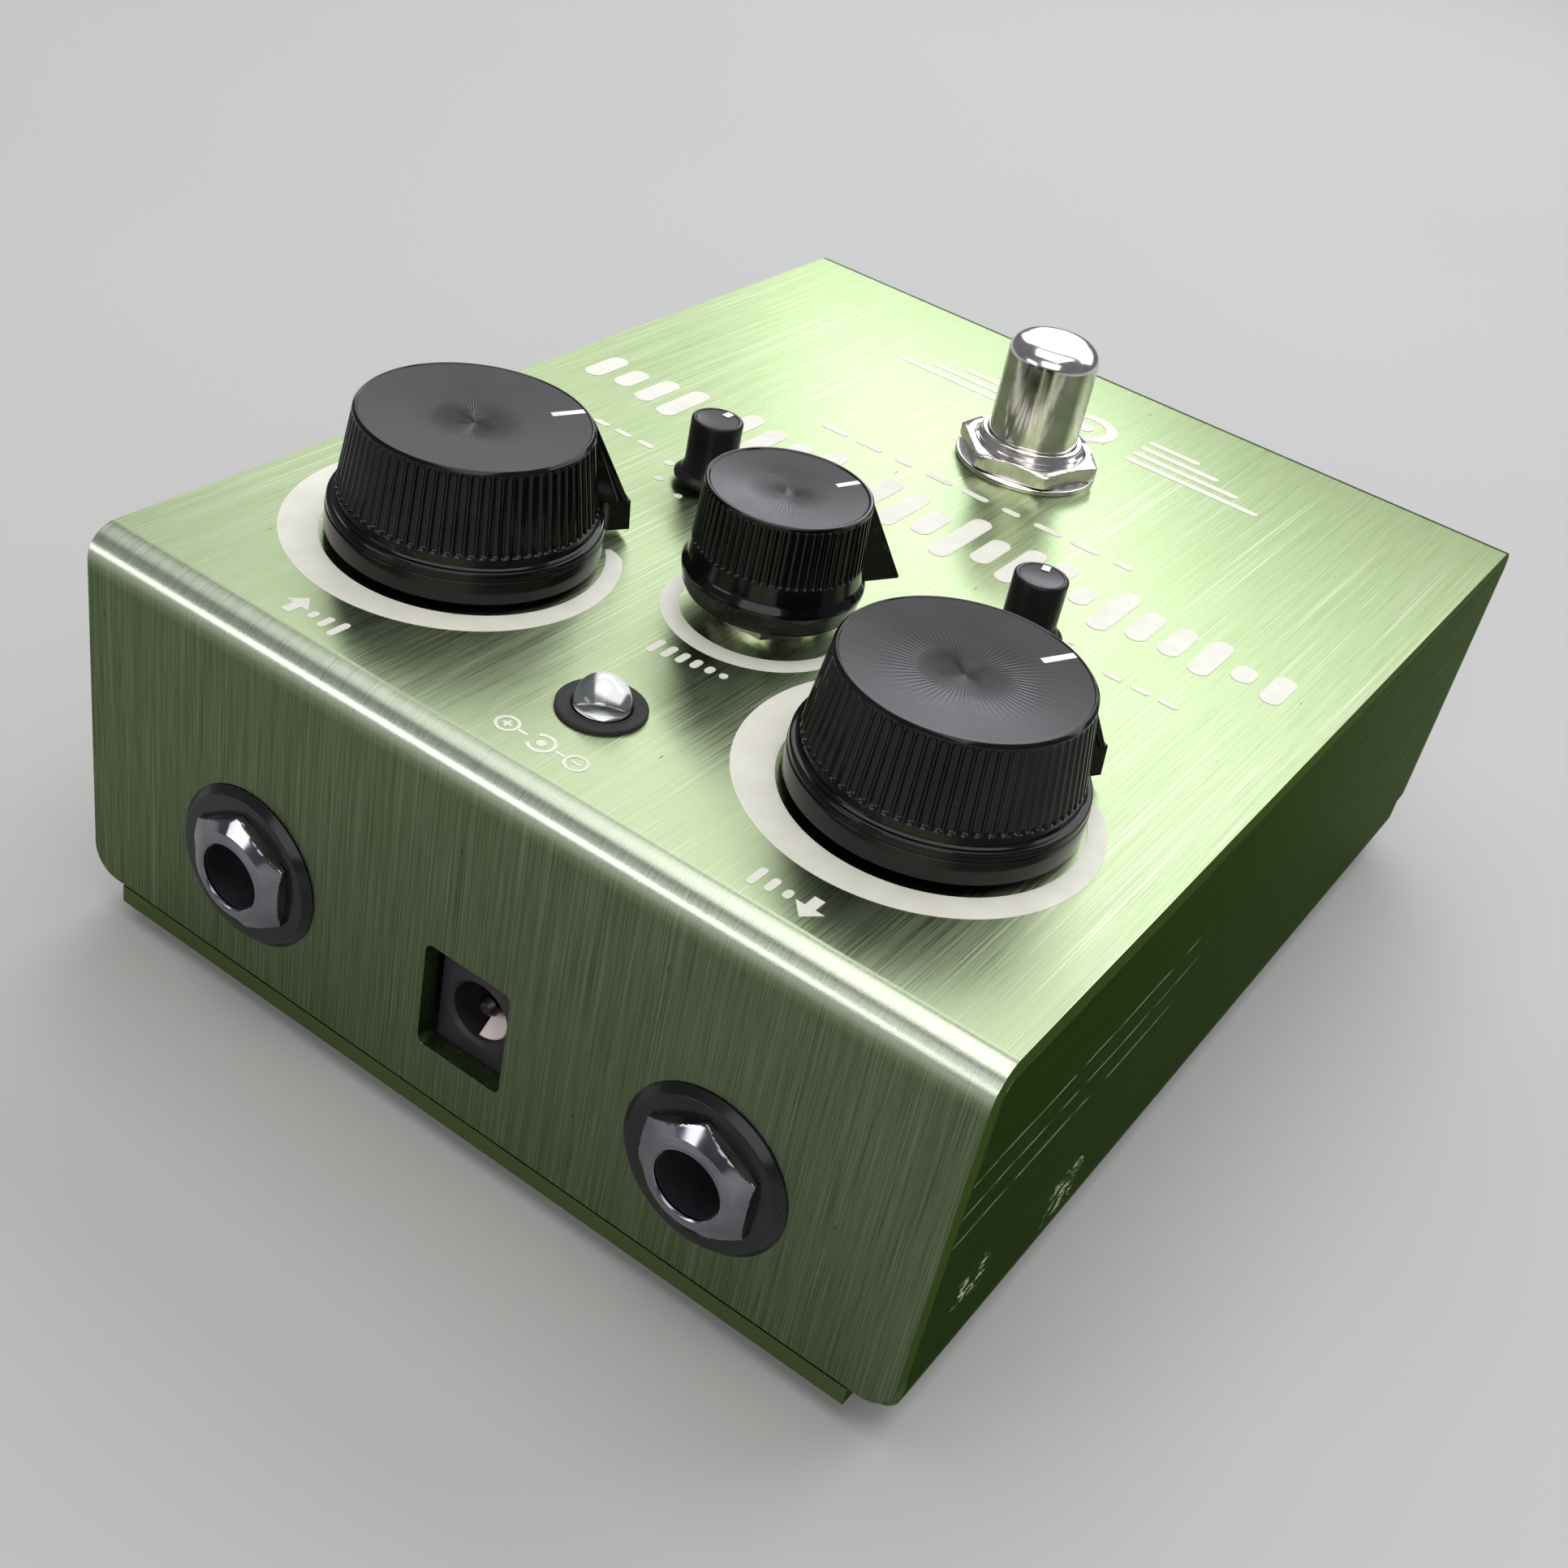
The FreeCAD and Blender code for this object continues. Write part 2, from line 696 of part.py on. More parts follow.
def make_pots():
    """Three panel potentiometers: housing, bushing with its front plate, legs, washer and nut."""
    housings, bushings, legs, washers, nuts = [], [], [], [], []
    housing_y = -0.8
    leg_y = housing_y - DIM.pot_depth / 2 - 0.15
    washer_top = PANEL_TOP + DIM.pot_washer_thickness
    bushing_height = PANEL_TOP + DIM.pot_bushing_rise - POT_PLATE_TOP
    for x, y in POT_CENTRES.values():
        block = box(DIM.pot_width, DIM.pot_depth, DIM.pot_housing_height, x, y + housing_y, BOARD_TOP)
        cavity = cylinder(DIM.pot_cavity_radius, DIM.pot_housing_height, x, y, BOARD_TOP + 1.4)
        housings.append(cut(block, cavity))
        plate = box(DIM.pot_width, DIM.pot_depth, DIM.pot_plate_thickness,
                    x, y + housing_y, POT_PLATE_BOTTOM)
        sleeve = cylinder(DIM.pot_bushing_radius, bushing_height, x, y, POT_PLATE_TOP)
        bore = cylinder(SHAFT_BORE, bushing_height + 2, x, y, POT_PLATE_BOTTOM - 1)
        long_bore = cylinder(SHAFT_BORE, bushing_height, x, y, POT_PLATE_TOP)
        bushings.append(cut(fuse(plate, sleeve), fuse(bore, long_bore)))
        for step in (-2.5, 0, 2.5):
            legs.append(box(1.0, 0.3, 3.4, x + step, y + leg_y, BOARD_TOP))
        washers.append(tube(DIM.pot_washer_radius, DIM.pot_panel_hole_radius,
                            DIM.pot_washer_thickness, x, y, PANEL_TOP))
        nut = hex_nut("pot_nut", DIM.pot_nut_across_flats, DIM.pot_bushing_radius + 0.08,
                      DIM.pot_nut_thickness, 0.3)
        nuts.append(place(nut, x, y, washer_top))
    group("pot_housings", housings)
    group("pot_bushings", bushings)
    group("pot_terminals", legs)
    group("pot_washers", washers)
    group("pot_nuts", nuts)


def make_shaft(name, x, y):
    """A potentiometer's shaft with the wiper disc that keeps it in the housing."""
    disc_bottom = BOARD_TOP + 1.7
    disc_top = disc_bottom + 2.0
    top = PANEL_TOP + DIM.shaft_rise
    disc_radius = DIM.pot_cavity_radius - 0.3
    shaft_radius = DIM.shaft_radius
    bevel = 0.4
    shaft = turned_body(name, [
        (0, disc_bottom), (disc_radius, disc_bottom), (disc_radius, disc_top), (shaft_radius, disc_top),
        (shaft_radius, top - bevel), (shaft_radius - bevel, top), (0, top),
    ])
    keep(place(shaft, x, y), name)


def add_flutes(body, count, low, high, flute_radius, depth):
    """Cut the ring of grip flutes, each leaning with the knob's side from low to high (radius, height)."""
    lean = math.degrees(math.atan2(low[0].value - high[0].value, high[1].value - low[1].value))
    flute = body.newObject("PartDesign::SubtractiveCylinder", "flute")
    bind(flute, "Radius", flute_radius)
    bind(flute, "Height", high[1] - low[1] + 1)
    flute.AttachmentSupport = [(origin_feature(body, "XY_Plane"), "")]
    flute.MapMode = "FlatFace"
    half_pitch = math.radians(180 / count.value)
    rotation = FreeCAD.Rotation(FreeCAD.Vector(0, 0, 1), math.degrees(half_pitch))
    rotation = rotation * FreeCAD.Rotation(FreeCAD.Vector(0, 1, 0), -lean)
    flute.AttachmentOffset = FreeCAD.Placement(FreeCAD.Vector(), rotation)
    centre_radius = low[0] + flute_radius - depth
    bind(flute, "AttachmentOffset.Base.x", centre_radius * math.cos(half_pitch))
    bind(flute, "AttachmentOffset.Base.y", centre_radius * math.sin(half_pitch))
    bind(flute, "AttachmentOffset.Base.z", low[1])
    pattern = body.newObject("PartDesign::PolarPattern", "flutes")
    pattern.Originals = [flute]
    pattern.Axis = (origin_feature(body, "Z_Axis"), [""])
    pattern.Angle = 360
    bind(pattern, "Occurrences", count)
    body.Tip = pattern


def add_fin(body, outline, thickness):
    """The pointer fin along +X, drawn as a closed (radius, height) outline."""
    side_view = new_sketch(body, "XZ_Plane", "fin")
    draw_outline(side_view, outline)
    body.Tip = extrude(body, side_view, thickness, symmetric=True)


def make_main_knob(name, x, y):
    """A large fluted knob on a broad skirt, with its pointer fin reaching past the skirt."""
    bore = DIM.shaft_radius + DIM.press_clearance
    bottom = DIM.main_knob_lift
    top = DIM.main_knob_height
    skirt = DIM.main_knob_radius
    crown = DIM.main_knob_top_radius
    cavity_top, bore_top = Size(4.4), Size(10.5)
    ledge, ledge_top = skirt - 0.22, Size(3.95)
    band, band_top = skirt - 0.82, Size(4.95)
    knob = turned_body(name, [
        (DIM.knob_cavity_radius, bottom), (skirt, bottom), (skirt, ledge_top - 0.9),
        (ledge, ledge_top - 0.8), (ledge, ledge_top), (band, ledge_top + 0.05), (band, band_top),
        (crown, top - 0.4), (crown - 0.4, top), (0, top),
        (0, bore_top), (bore, bore_top), (bore, cavity_top), (DIM.knob_cavity_radius, cavity_top),
    ])
    add_flutes(knob, DIM.main_knob_flutes, (band, band_top), (crown, top), Size(0.45), Size(0.3))
    root = DIM.knob_cavity_radius + 0.8
    reach = DIM.main_fin_reach
    add_fin(knob, [
        (root, bottom), (reach, bottom), (reach, bottom + 0.4), (reach - 0.3, bottom + 2.75),
        (crown, top), (root, top),
    ], DIM.main_fin_thickness)
    up = FreeCAD.Vector(0, 0, 1)
    keep(place(knob, x, y, PANEL_TOP, (up, DIM.main_pointer_angle)), name)


def make_tone_knob(name, x, y):
    """The smaller fluted knob, standing clear of the panel, with a long sloping pointer fin."""
    bore = DIM.shaft_radius + DIM.press_clearance
    bottom = DIM.tone_knob_lift
    top = DIM.tone_knob_height
    flare = DIM.tone_knob_radius
    crown = DIM.tone_knob_top_radius
    cavity_top, bore_top = Size(4.4), Size(10.5)
    band, band_top = crown + 0.3, Size(7.3)
    knob = turned_body(name, [
        (DIM.knob_cavity_radius, bottom), (flare - 0.15, bottom), (flare, bottom + 2.0),
        (flare - 0.3, bottom + 2.7), (band, band_top), (crown, top - 0.3), (crown - 0.3, top),
        (crown - 0.8, top - 0.1), (0, top - 0.4),
        (0, bore_top), (bore, bore_top), (bore, cavity_top), (DIM.knob_cavity_radius, cavity_top),
    ])
    add_flutes(knob, DIM.tone_knob_flutes, (band, band_top), (crown, top), Size(0.32), Size(0.22))
    root = DIM.knob_cavity_radius + 0.8
    reach = DIM.tone_fin_reach
    add_fin(knob, [
        (root, bottom + 0.6), (reach, bottom + 0.6), (reach, bottom + 0.9), (crown, top), (root, top - 0.3),
    ], DIM.tone_fin_thickness)
    up = FreeCAD.Vector(0, 0, 1)
    keep(place(knob, x, y, PANEL_TOP, (up, DIM.tone_pointer_angle)), name)


def make_trim_pots():
    housings = []
    bore = DIM.trim_stem_radius + DIM.running_clearance
    for x, y in TRIM_CENTRES.values():
        width = DIM.trim_housing_width
        block = box(width, width, DIM.trim_housing_height, x, y, BOARD_TOP)
        cavity = cylinder(DIM.trim_rotor_radius + 0.3, 2.6, x, y, BOARD_TOP + 1)
        neck = cylinder(bore, DIM.trim_housing_height, x, y, BOARD_TOP + 2)
        housings.append(cut(block, fuse(cavity, neck)))
    group("trim_pot_housings", housings)


def make_trim_control(side, x, y, angle):
    """A trimmer's rotor with its stem, and the small round knob pressed on it."""
    disc_bottom = BOARD_TOP + 1.3
    disc_top = disc_bottom + 2.0
    stem_top = PANEL_TOP + DIM.trim_knob_height - 1.5
    stem = DIM.trim_stem_radius
    rotor = turned_body(f"{side}_trim_rotor", [
        (0, disc_bottom), (DIM.trim_rotor_radius, disc_bottom), (DIM.trim_rotor_radius, disc_top),
        (stem, disc_top), (stem, stem_top), (0, stem_top),
    ])
    keep(place(rotor, x, y), f"{side}_trim_rotor")
    top = DIM.trim_knob_height
    bottom = DIM.trim_knob_lift
    radius = DIM.trim_knob_radius
    flare = DIM.trim_knob_flare_radius
    bore = stem + DIM.press_clearance
    bore_top = top - 1.4
    knob = turned_body(f"{side}_trim_knob", [
        (bore, bottom), (flare, bottom), (flare, bottom + 0.5), (radius + 0.3, bottom + 1.1),
        (radius, bottom + 2.2), (radius, top - 0.35), (radius - 0.35, top), (0, top),
        (0, bore_top), (bore, bore_top),
    ])
    up = FreeCAD.Vector(0, 0, 1)
    keep(place(knob, x, y, PANEL_TOP, (up, angle)), f"{side}_trim_knob")


# ---------------------------------------------------------------- status lamp

def make_status_lamp():
    barrel_bottom = PANEL_TOP - 4.0
    top = PANEL_TOP + DIM.bezel_rise
    bore = DIM.lamp_radius + 0.1
    barrel = DIM.bezel_barrel_radius
    rim = DIM.bezel_radius
    bezel = turned_body("led_bezel", [
        (bore, barrel_bottom), (barrel, barrel_bottom), (barrel, PANEL_TOP),
        (rim, PANEL_TOP), (rim, top - 0.25), (rim - 0.25, top), (bore, top),
    ])
    keep(place(bezel, 0, DIM.lamp_y), "led_bezel")
    nut = hex_nut("led_bezel_nut", Size(8.0), DIM.bezel_barrel_radius + 0.05, Size(1.3), 0.2)
    keep(place(nut, 0, DIM.lamp_y, PANEL_UNDER - 1.3), "led_bezel_nut")

    flange_bottom = barrel_bottom - 1.2
    dome_centre = PANEL_TOP + DIM.lamp_dome_rise
    flange = cylinder(DIM.lamp_flange_radius, 1.0, 0, DIM.lamp_y, flange_bottom)
    column = cylinder(DIM.lamp_radius, dome_centre - flange_bottom, 0, DIM.lamp_y, flange_bottom)
    dome = DOC.addObject("Part::Sphere", "dome")
    bind(dome, "Radius", DIM.lamp_radius)
    place(dome, 0, DIM.lamp_y, dome_centre)
    keep(fuse(flange, column, dome), "status_led")
    leads = [box(0.5, 0.5, flange_bottom - BOARD_TOP, x, DIM.lamp_y, BOARD_TOP) for x in (-1.27, 1.27)]
    group("led_leads", leads)


# ---------------------------------------------------------------- foot switch

def make_footswitch():
    centre = (0, DIM.footswitch_y)
    body_top = DIM.footswitch_body_top
    body_bottom = body_top - DIM.footswitch_body_height
    width = DIM.footswitch_width
    stem_bore = DIM.stem_radius + 0.4
    block = box(width, width, DIM.footswitch_body_height, *centre, body_bottom)
    cavity = cylinder(5, DIM.footswitch_body_height - 3.5, *centre, body_bottom + 2)
    stem_hole = cylinder(stem_bore, DIM.footswitch_body_height - 3, *centre, body_bottom + 4)
    keep(cut(block, fuse(cavity, stem_hole)), "footswitch_housing")

    lug_height = body_bottom - DIM.switch_board_top
    lugs = []
    for column in (-4.8, 0, 4.8):
        for row in (-4.8, 0, 4.8):
            lugs.append(box(2.0, 0.8, lug_height, column, DIM.footswitch_y + row, DIM.switch_board_top))
    group("footswitch_terminals", lugs)

    bore = DIM.plunger_radius + DIM.plunger_clearance
    outer = DIM.bushing_radius
    bushing_top = PANEL_TOP + DIM.bushing_rise
    bushing = turned_body("footswitch_bushing", [
        (bore, body_top), (outer + 1.5, body_top), (outer + 1.5, body_top + 1.2), (outer, body_top + 1.2),
        (outer, bushing_top - 0.4), (outer - 0.4, bushing_top), (bore, bushing_top),
    ])
    keep(place(bushing, *centre), "footswitch_bushing")

    nut_bore = DIM.bushing_radius + 0.06
    inner_nut = hex_nut("inner_nut", DIM.switch_nut_across_flats, nut_bore, Size(2.0), 0.3)
    keep(place(inner_nut, *centre, PANEL_UNDER - 2.0), "footswitch_inner_nut")
    washer = tube(DIM.switch_washer_radius, nut_bore, DIM.switch_washer_thickness, *centre, PANEL_TOP)
    keep(washer, "footswitch_washer")
    outer_nut = hex_nut("outer_nut", DIM.switch_nut_across_flats, nut_bore,
                        DIM.switch_nut_thickness, 0.35, 12.0)
    keep(place(outer_nut, *centre, PANEL_TOP + DIM.switch_washer_thickness), "footswitch_nut")

    make_footswitch_button(centre)
    make_footswitch_spring(centre)


def make_footswitch_button(centre):
    """The round button with its plunger, and the stem that works the contacts below."""
    top = PANEL_TOP + DIM.plunger_rise
    button = turned_body("footswitch_button", [
        (0, DIM.stem_bottom), (DIM.stem_radius, DIM.stem_bottom), (DIM.stem_radius, DIM.plunger_bottom),
        (DIM.plunger_radius, DIM.plunger_bottom), (DIM.plunger_radius, top), (0, top),
    ])
    round_edges(button, DIM.plunger_shoulder, lambda middle: is_near(middle.z, top))
    keep(place(button, *centre), "footswitch_button")


def make_footswitch_spring(centre):
    """The return spring round the stem, between the switch's housing and the plunger."""
    spring = new_body("footswitch_spring")
    wire = DIM.spring_wire_radius
    gap = 0.05
    section = new_sketch(spring, "XZ_Plane", "wire")
    draw_circle(section, wire, DIM.spring_radius, wire)
    height = DIM.plunger_bottom - DIM.footswitch_body_top - wire * 2 - gap * 2
    coil = spring.newObject("PartDesign::AdditiveHelix", "coil")
    coil.Profile = section
    coil.ReferenceAxis = (section, ["V_Axis"])
    coil.Mode = 0
    bind(coil, "Pitch", height / DIM.spring_turns)
    bind(coil, "Height", height)
    keep(place(spring, *centre, DIM.footswitch_body_top + gap), "footswitch_spring")


# ---------------------------------------------------------------- rear wall connectors

def make_jacks():
    """Two jack sockets: housing with its threaded bushing, contact lugs, washer and nut."""
    housings, lugs, washers, nuts = [], [], [], []
    width = DIM.jack_width
    length = DIM.jack_length
    height = (DIM.jack_z - DIM.jack_board_top) * 2 - 1.3
    mouth = INNER_DEPTH + DIM.sheet_thickness + DIM.jack_bushing_rise
    washer_edge = DIM.jack_washer_radius
    washer_thickness = DIM.jack_washer_thickness
    for side in SIDES:
        x = side * DIM.jack_x
        block = box(width, length, height, x, INNER_DEPTH - length / 2, DIM.jack_board_top)
        bushing = cylinder(DIM.jack_bushing_radius, mouth - INNER_DEPTH, x, INNER_DEPTH,
                           DIM.jack_z, ALONG_Y)
        bore = cylinder(DIM.jack_bore_radius, DIM.jack_bore_depth + 1, x, mouth - DIM.jack_bore_depth,
                        DIM.jack_z, ALONG_Y)
        housings.append(cut(fuse(block, bushing), bore))
        lug_x = x + side * (width / 2 + 0.2)
        for step in (-18, -11, -4):
            lugs.append(box(0.4, 3.0, 6.0, lug_x, INNER_DEPTH + step, DIM.jack_board_top))
        washer = turned_body("jack_washer", [
            (DIM.jack_panel_hole_radius, 0), (washer_edge, 0), (washer_edge - 0.75, washer_thickness),
            (DIM.jack_panel_hole_radius, washer_thickness),
        ])
        washers.append(place(washer, x, HALF_DEPTH, DIM.jack_z, ALONG_Y))
        nut = hex_nut("jack_nut", DIM.jack_nut_across_flats, DIM.jack_bushing_radius + 0.06,
                      Size(1.0), 0.05, 90.0)
        cone = turned_body("jack_nut_cone", [
            (DIM.jack_bushing_radius + 0.06, 0.9), (5.6, 0.9), (5.45, 1.12), (4.4, 1.55),
            (3.9, DIM.jack_nut_thickness), (3.4, DIM.jack_nut_thickness), (3.3, 1.6),
            (3.3, 1.4), (DIM.jack_bushing_radius + 0.06, 1.4),
        ])
        nuts.append(place(fuse(nut, cone), x, HALF_DEPTH + washer_thickness, DIM.jack_z, ALONG_Y))
    group("jack_housings", housings)
    group("jack_contacts", lugs)
    group("jack_washers", washers)
    group("jack_nuts", nuts)


def make_dc_inlet():
    face = INNER_DEPTH - 0.1
    block = box(DIM.inlet_width, DIM.inlet_depth, DIM.inlet_height,
                0, face - DIM.inlet_depth / 2, DIM.jack_board_top)
    bore_bottom = face - DIM.inlet_bore_depth
    bore = cylinder(DIM.inlet_bore_radius, DIM.inlet_bore_depth + 1, 0, bore_bottom, DIM.inlet_z, ALONG_Y)
    pin_hole = cylinder(DIM.inlet_pin_radius, 4, 0, bore_bottom - 3, DIM.inlet_z, ALONG_Y)
    keep(cut(block, fuse(bore, pin_hole)), "dc_socket")
    pin = cylinder(DIM.inlet_pin_radius, DIM.inlet_bore_depth + 2, 0, bore_bottom - 3, DIM.inlet_z, ALONG_Y)
    keep(pin, "dc_pin")
    leaf_length = DIM.inlet_bore_depth - 2
    leaf = box(2.0, leaf_length, 0.35, 0, bore_bottom + leaf_length / 2,
               DIM.inlet_z - DIM.inlet_bore_radius + 0.2)
    keep(leaf, "dc_contact")


# ---------------------------------------------------------------- the whole pedal

def check_and_write():
    """Stop on any failed feature, then write one STEP file for each sub-part."""
    for item in DOC.Objects:
        if {"Invalid", "Error"} & set(item.State):
            raise RuntimeError(f"{item.Name} ({item.Label}) failed: {item.State}")
        if item.TypeId in ("PartDesign::Pocket", "PartDesign::Hole", "PartDesign::Groove"):
            if item.Shape.Volume > item.BaseFeature.Shape.Volume - 0.001:
                raise RuntimeError(f"{item.Name} cuts nothing")
    os.makedirs("parts", exist_ok=True)
    for part in SUBPARTS:
        if part.Shape.isNull() or not part.Shape.isValid():
            raise RuntimeError(f"{part.Label} has no valid shape")
        part.Shape.exportStep(f"parts/{part.Label}.step")
    print(len(SUBPARTS), "sub-parts written")


def main():
    fill_sheet()
    make_cover()
    make_base_tray()
    make_feet()
    make_base_screws()
    make_standoffs()
    make_boards()
    make_board_header()
    make_ribbon_cable()
    make_main_board_components()
    make_pots()
    for name, (x, y) in POT_CENTRES.items():
        make_shaft(f"{name}_shaft", x, y)
    make_main_knob("gain_knob", *POT_CENTRES["gain"])
    make_main_knob("level_knob", *POT_CENTRES["level"])
    make_tone_knob("tone_knob", *POT_CENTRES["tone"])
    make_trim_pots()
    make_trim_control("right", *TRIM_CENTRES["right"], DIM.right_trim_angle)
    make_trim_control("left", *TRIM_CENTRES["left"], DIM.left_trim_angle)
    make_status_lamp()
    make_footswitch()
    make_jacks()
    make_dc_inlet()
    DOC.recompute()
    check_and_write()


main()
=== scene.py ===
import json
import math
from functools import partial

import bmesh
import bpy
from mathutils import Matrix, Vector


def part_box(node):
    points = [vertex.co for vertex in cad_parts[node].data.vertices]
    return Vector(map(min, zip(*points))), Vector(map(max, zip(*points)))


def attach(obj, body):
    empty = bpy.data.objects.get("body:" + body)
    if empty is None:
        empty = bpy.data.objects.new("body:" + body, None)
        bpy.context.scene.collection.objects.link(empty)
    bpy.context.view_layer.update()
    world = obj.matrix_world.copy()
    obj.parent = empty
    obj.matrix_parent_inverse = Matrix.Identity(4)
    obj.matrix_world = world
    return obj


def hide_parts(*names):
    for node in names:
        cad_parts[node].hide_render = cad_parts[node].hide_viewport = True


# A guitar effects pedal: a folded box in green anodised aluminium, with its controls and connectors.
# Shapes are written in millimetres, and become metres when a piece is made.

MM = 0.001
FULL_TURN = 2 * math.pi
ROOT = "enclosure"

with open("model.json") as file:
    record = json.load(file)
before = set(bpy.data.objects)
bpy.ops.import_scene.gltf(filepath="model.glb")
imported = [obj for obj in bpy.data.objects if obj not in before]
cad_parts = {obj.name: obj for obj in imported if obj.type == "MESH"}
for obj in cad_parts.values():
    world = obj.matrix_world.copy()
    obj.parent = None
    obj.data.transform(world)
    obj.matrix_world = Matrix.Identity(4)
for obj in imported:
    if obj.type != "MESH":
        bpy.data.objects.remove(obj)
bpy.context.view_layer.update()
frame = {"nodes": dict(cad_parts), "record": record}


# ---- sizes read from the frame

def low(node):
    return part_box(node)[0] / MM


def high(node):
    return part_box(node)[1] / MM


def centre(node):
    return (low(node) + high(node)) / 2


PANEL = high("cover").z
HALF_WIDTH = high("cover").x
HALF_DEPTH = high("cover").y
COVER_BOTTOM = low("cover").z
TRAY_BOTTOM = low("base_tray").z
SHEET = 2.0
COVER_BEND = 3.1
TRAY_BEND = 2.5
KNOB_CENTRES = [centre(name).xy for name in ("gain_shaft", "level_shaft", "tone_shaft")]
TRIM_CENTRES = [centre(name).xy for name in ("left_trim_rotor", "right_trim_rotor")]
LAMP = centre("status_led").xy
SWITCH = centre("footswitch_bushing").xy
WASHER_RADIUS = 8.3
JACK_HEIGHT = centre("jack_washers").z
JACK_REACH = high("jack_washers").x - WASHER_RADIUS
JACKS = (-JACK_REACH, JACK_REACH)
WINDOW_HALF = 4.85
WINDOW_BOTTOM, WINDOW_TOP = 10.4, 22.1
# takes an outline in (x, y), raised along z, to (x, z), raised along y
ON_REAR_WALL = Matrix(((1, 0, 0, 0), (0, 0, 1, 0), (0, 1, 0, 0), (0, 0, 0, 1)))


# ---- mesh helpers

def rounded(corners, closed=False, steps=5):
    """The points of an outline whose corners are (x, y) or (x, y, fillet radius)."""
    points = []
    count = len(corners)
    for number, (x, y, *fillet) in enumerate(corners):
        corner = Vector((x, y))
        at_end = not closed and number in (0, count - 1)
        if at_end or not fillet:
            points.append(corner)
            continue
        back = (Vector(corners[number - 1][:2]) - corner).normalized()
        ahead = (Vector(corners[(number + 1) % count][:2]) - corner).normalized()
        half = back.angle(ahead) / 2
        middle = corner + (back + ahead).normalized() * fillet[0] / math.sin(half)
        first = corner + back * fillet[0] / math.tan(half) - middle
        last = corner + ahead * fillet[0] / math.tan(half) - middle
        sweep = first.angle_signed(last)
        for step in range(steps + 1):
            arm = first.copy()
            arm.rotate(Matrix.Rotation(-sweep * step / steps, 2))
            points.append(middle + arm)
    return points


def even_angles(count):
    return [FULL_TURN * step / count for step in range(count)]


def turned(profile, angles=None, radius_at=None, closed=False):
    """A mesh turned about z from (radius, height) points. radius_at(radius, height, angle) may reshape it."""
    angles = angles or even_angles(96)
    mesh = bmesh.new()
    rings = []
    for radius, height in profile:
        if radius < 1e-6:
            rings.append([mesh.verts.new((0, 0, height))])
            continue
        ring = []
        for angle in angles:
            reach = radius_at(radius, height, angle) if radius_at else radius
            ring.append(mesh.verts.new((reach * math.cos(angle), reach * math.sin(angle), height)))
        rings.append(ring)
    pairs = list(zip(rings, rings[1:]))
    if closed:
        pairs.append((rings[-1], rings[0]))
    for lower, upper in pairs:
        join_rings(mesh, lower, upper)
    bmesh.ops.recalc_face_normals(mesh, faces=mesh.faces)
    return mesh


def join_rings(mesh, lower, upper):
    """Faces between two rings, either of which may be a single point."""
    count = max(len(lower), len(upper))
    if count == 1:
        return
    for here in range(count):
        there = (here + 1) % count
        corners = [ring[place % len(ring)]
                   for ring, place in ((lower, here), (lower, there), (upper, there), (upper, here))]
        mesh.faces.new(list(dict.fromkeys(corners)))


def prism(outline, bottom, top):
    """A closed mesh that stands on a flat outline."""
    mesh = bmesh.new()
    mesh.faces.new([mesh.verts.new((x, y, bottom)) for x, y in outline])
    grown = bmesh.ops.extrude_face_region(mesh, geom=mesh.faces[:])["geom"]
    bmesh.ops.translate(mesh, verts=pick_verts(grown), vec=(0, 0, top - bottom))
    bmesh.ops.recalc_face_normals(mesh, faces=mesh.faces)
    return mesh


def between(start, end, shares):
    """Points part way from start to end."""
    (x, y), (far_x, far_y) = start, end
    return [(x + (far_x - x) * share, y + (far_y - y) * share) for share in shares]


def woven(rows):
    """A mesh of faces between rows of points, each row as long as the others."""
    mesh = bmesh.new()
    made = [[mesh.verts.new(point) for point in row] for row in rows]
    for one, other in zip(made, made[1:]):
        for here in range(len(one) - 1):
            mesh.faces.new((one[here], one[here + 1], other[here + 1], other[here]))
    return mesh


def pick_verts(elements):
    return [element for element in elements if isinstance(element, bmesh.types.BMVert)]


def circle_outline(radius, x, y, count=64):
    return [(x + radius * math.cos(angle), y + radius * math.sin(angle)) for angle in even_angles(count)]


def block(size, middle, bevel):
    """A box whose edges are rounded by bevel."""
    mesh = bmesh.new()
    bmesh.ops.create_cube(mesh, size=1)
    bmesh.ops.scale(mesh, vec=size, verts=mesh.verts)
    bmesh.ops.translate(mesh, vec=middle, verts=mesh.verts)
    bmesh.ops.bevel(mesh, geom=mesh.edges[:], offset=bevel, segments=3, profile=0.5, affect="EDGES")
    return mesh


def moved(mesh, matrix):
    bmesh.ops.transform(mesh, matrix=matrix, verts=mesh.verts)
    if matrix.determinant() < 0:
        bmesh.ops.reverse_faces(mesh, faces=mesh.faces)
    return mesh


def mesh_data(name, mesh):
    data = bpy.data.meshes.new(name)
    mesh.to_mesh(data)
    return data


def add_object(name, data):
    thing = bpy.data.objects.new(name, data)
    bpy.context.scene.collection.objects.link(thing)
    return thing


def on_panel(x, y, degrees=0.0):
    return Matrix.Translation((x, y, PANEL)) @ Matrix.Rotation(math.radians(degrees), 4, "Z")


def joined(*meshes):
    """Several meshes in one."""
    whole = bmesh.new()
    for mesh in meshes:
        part = mesh_data("part", mesh)
        whole.from_mesh(part)
        bpy.data.meshes.remove(part)
        mesh.free()
    return whole


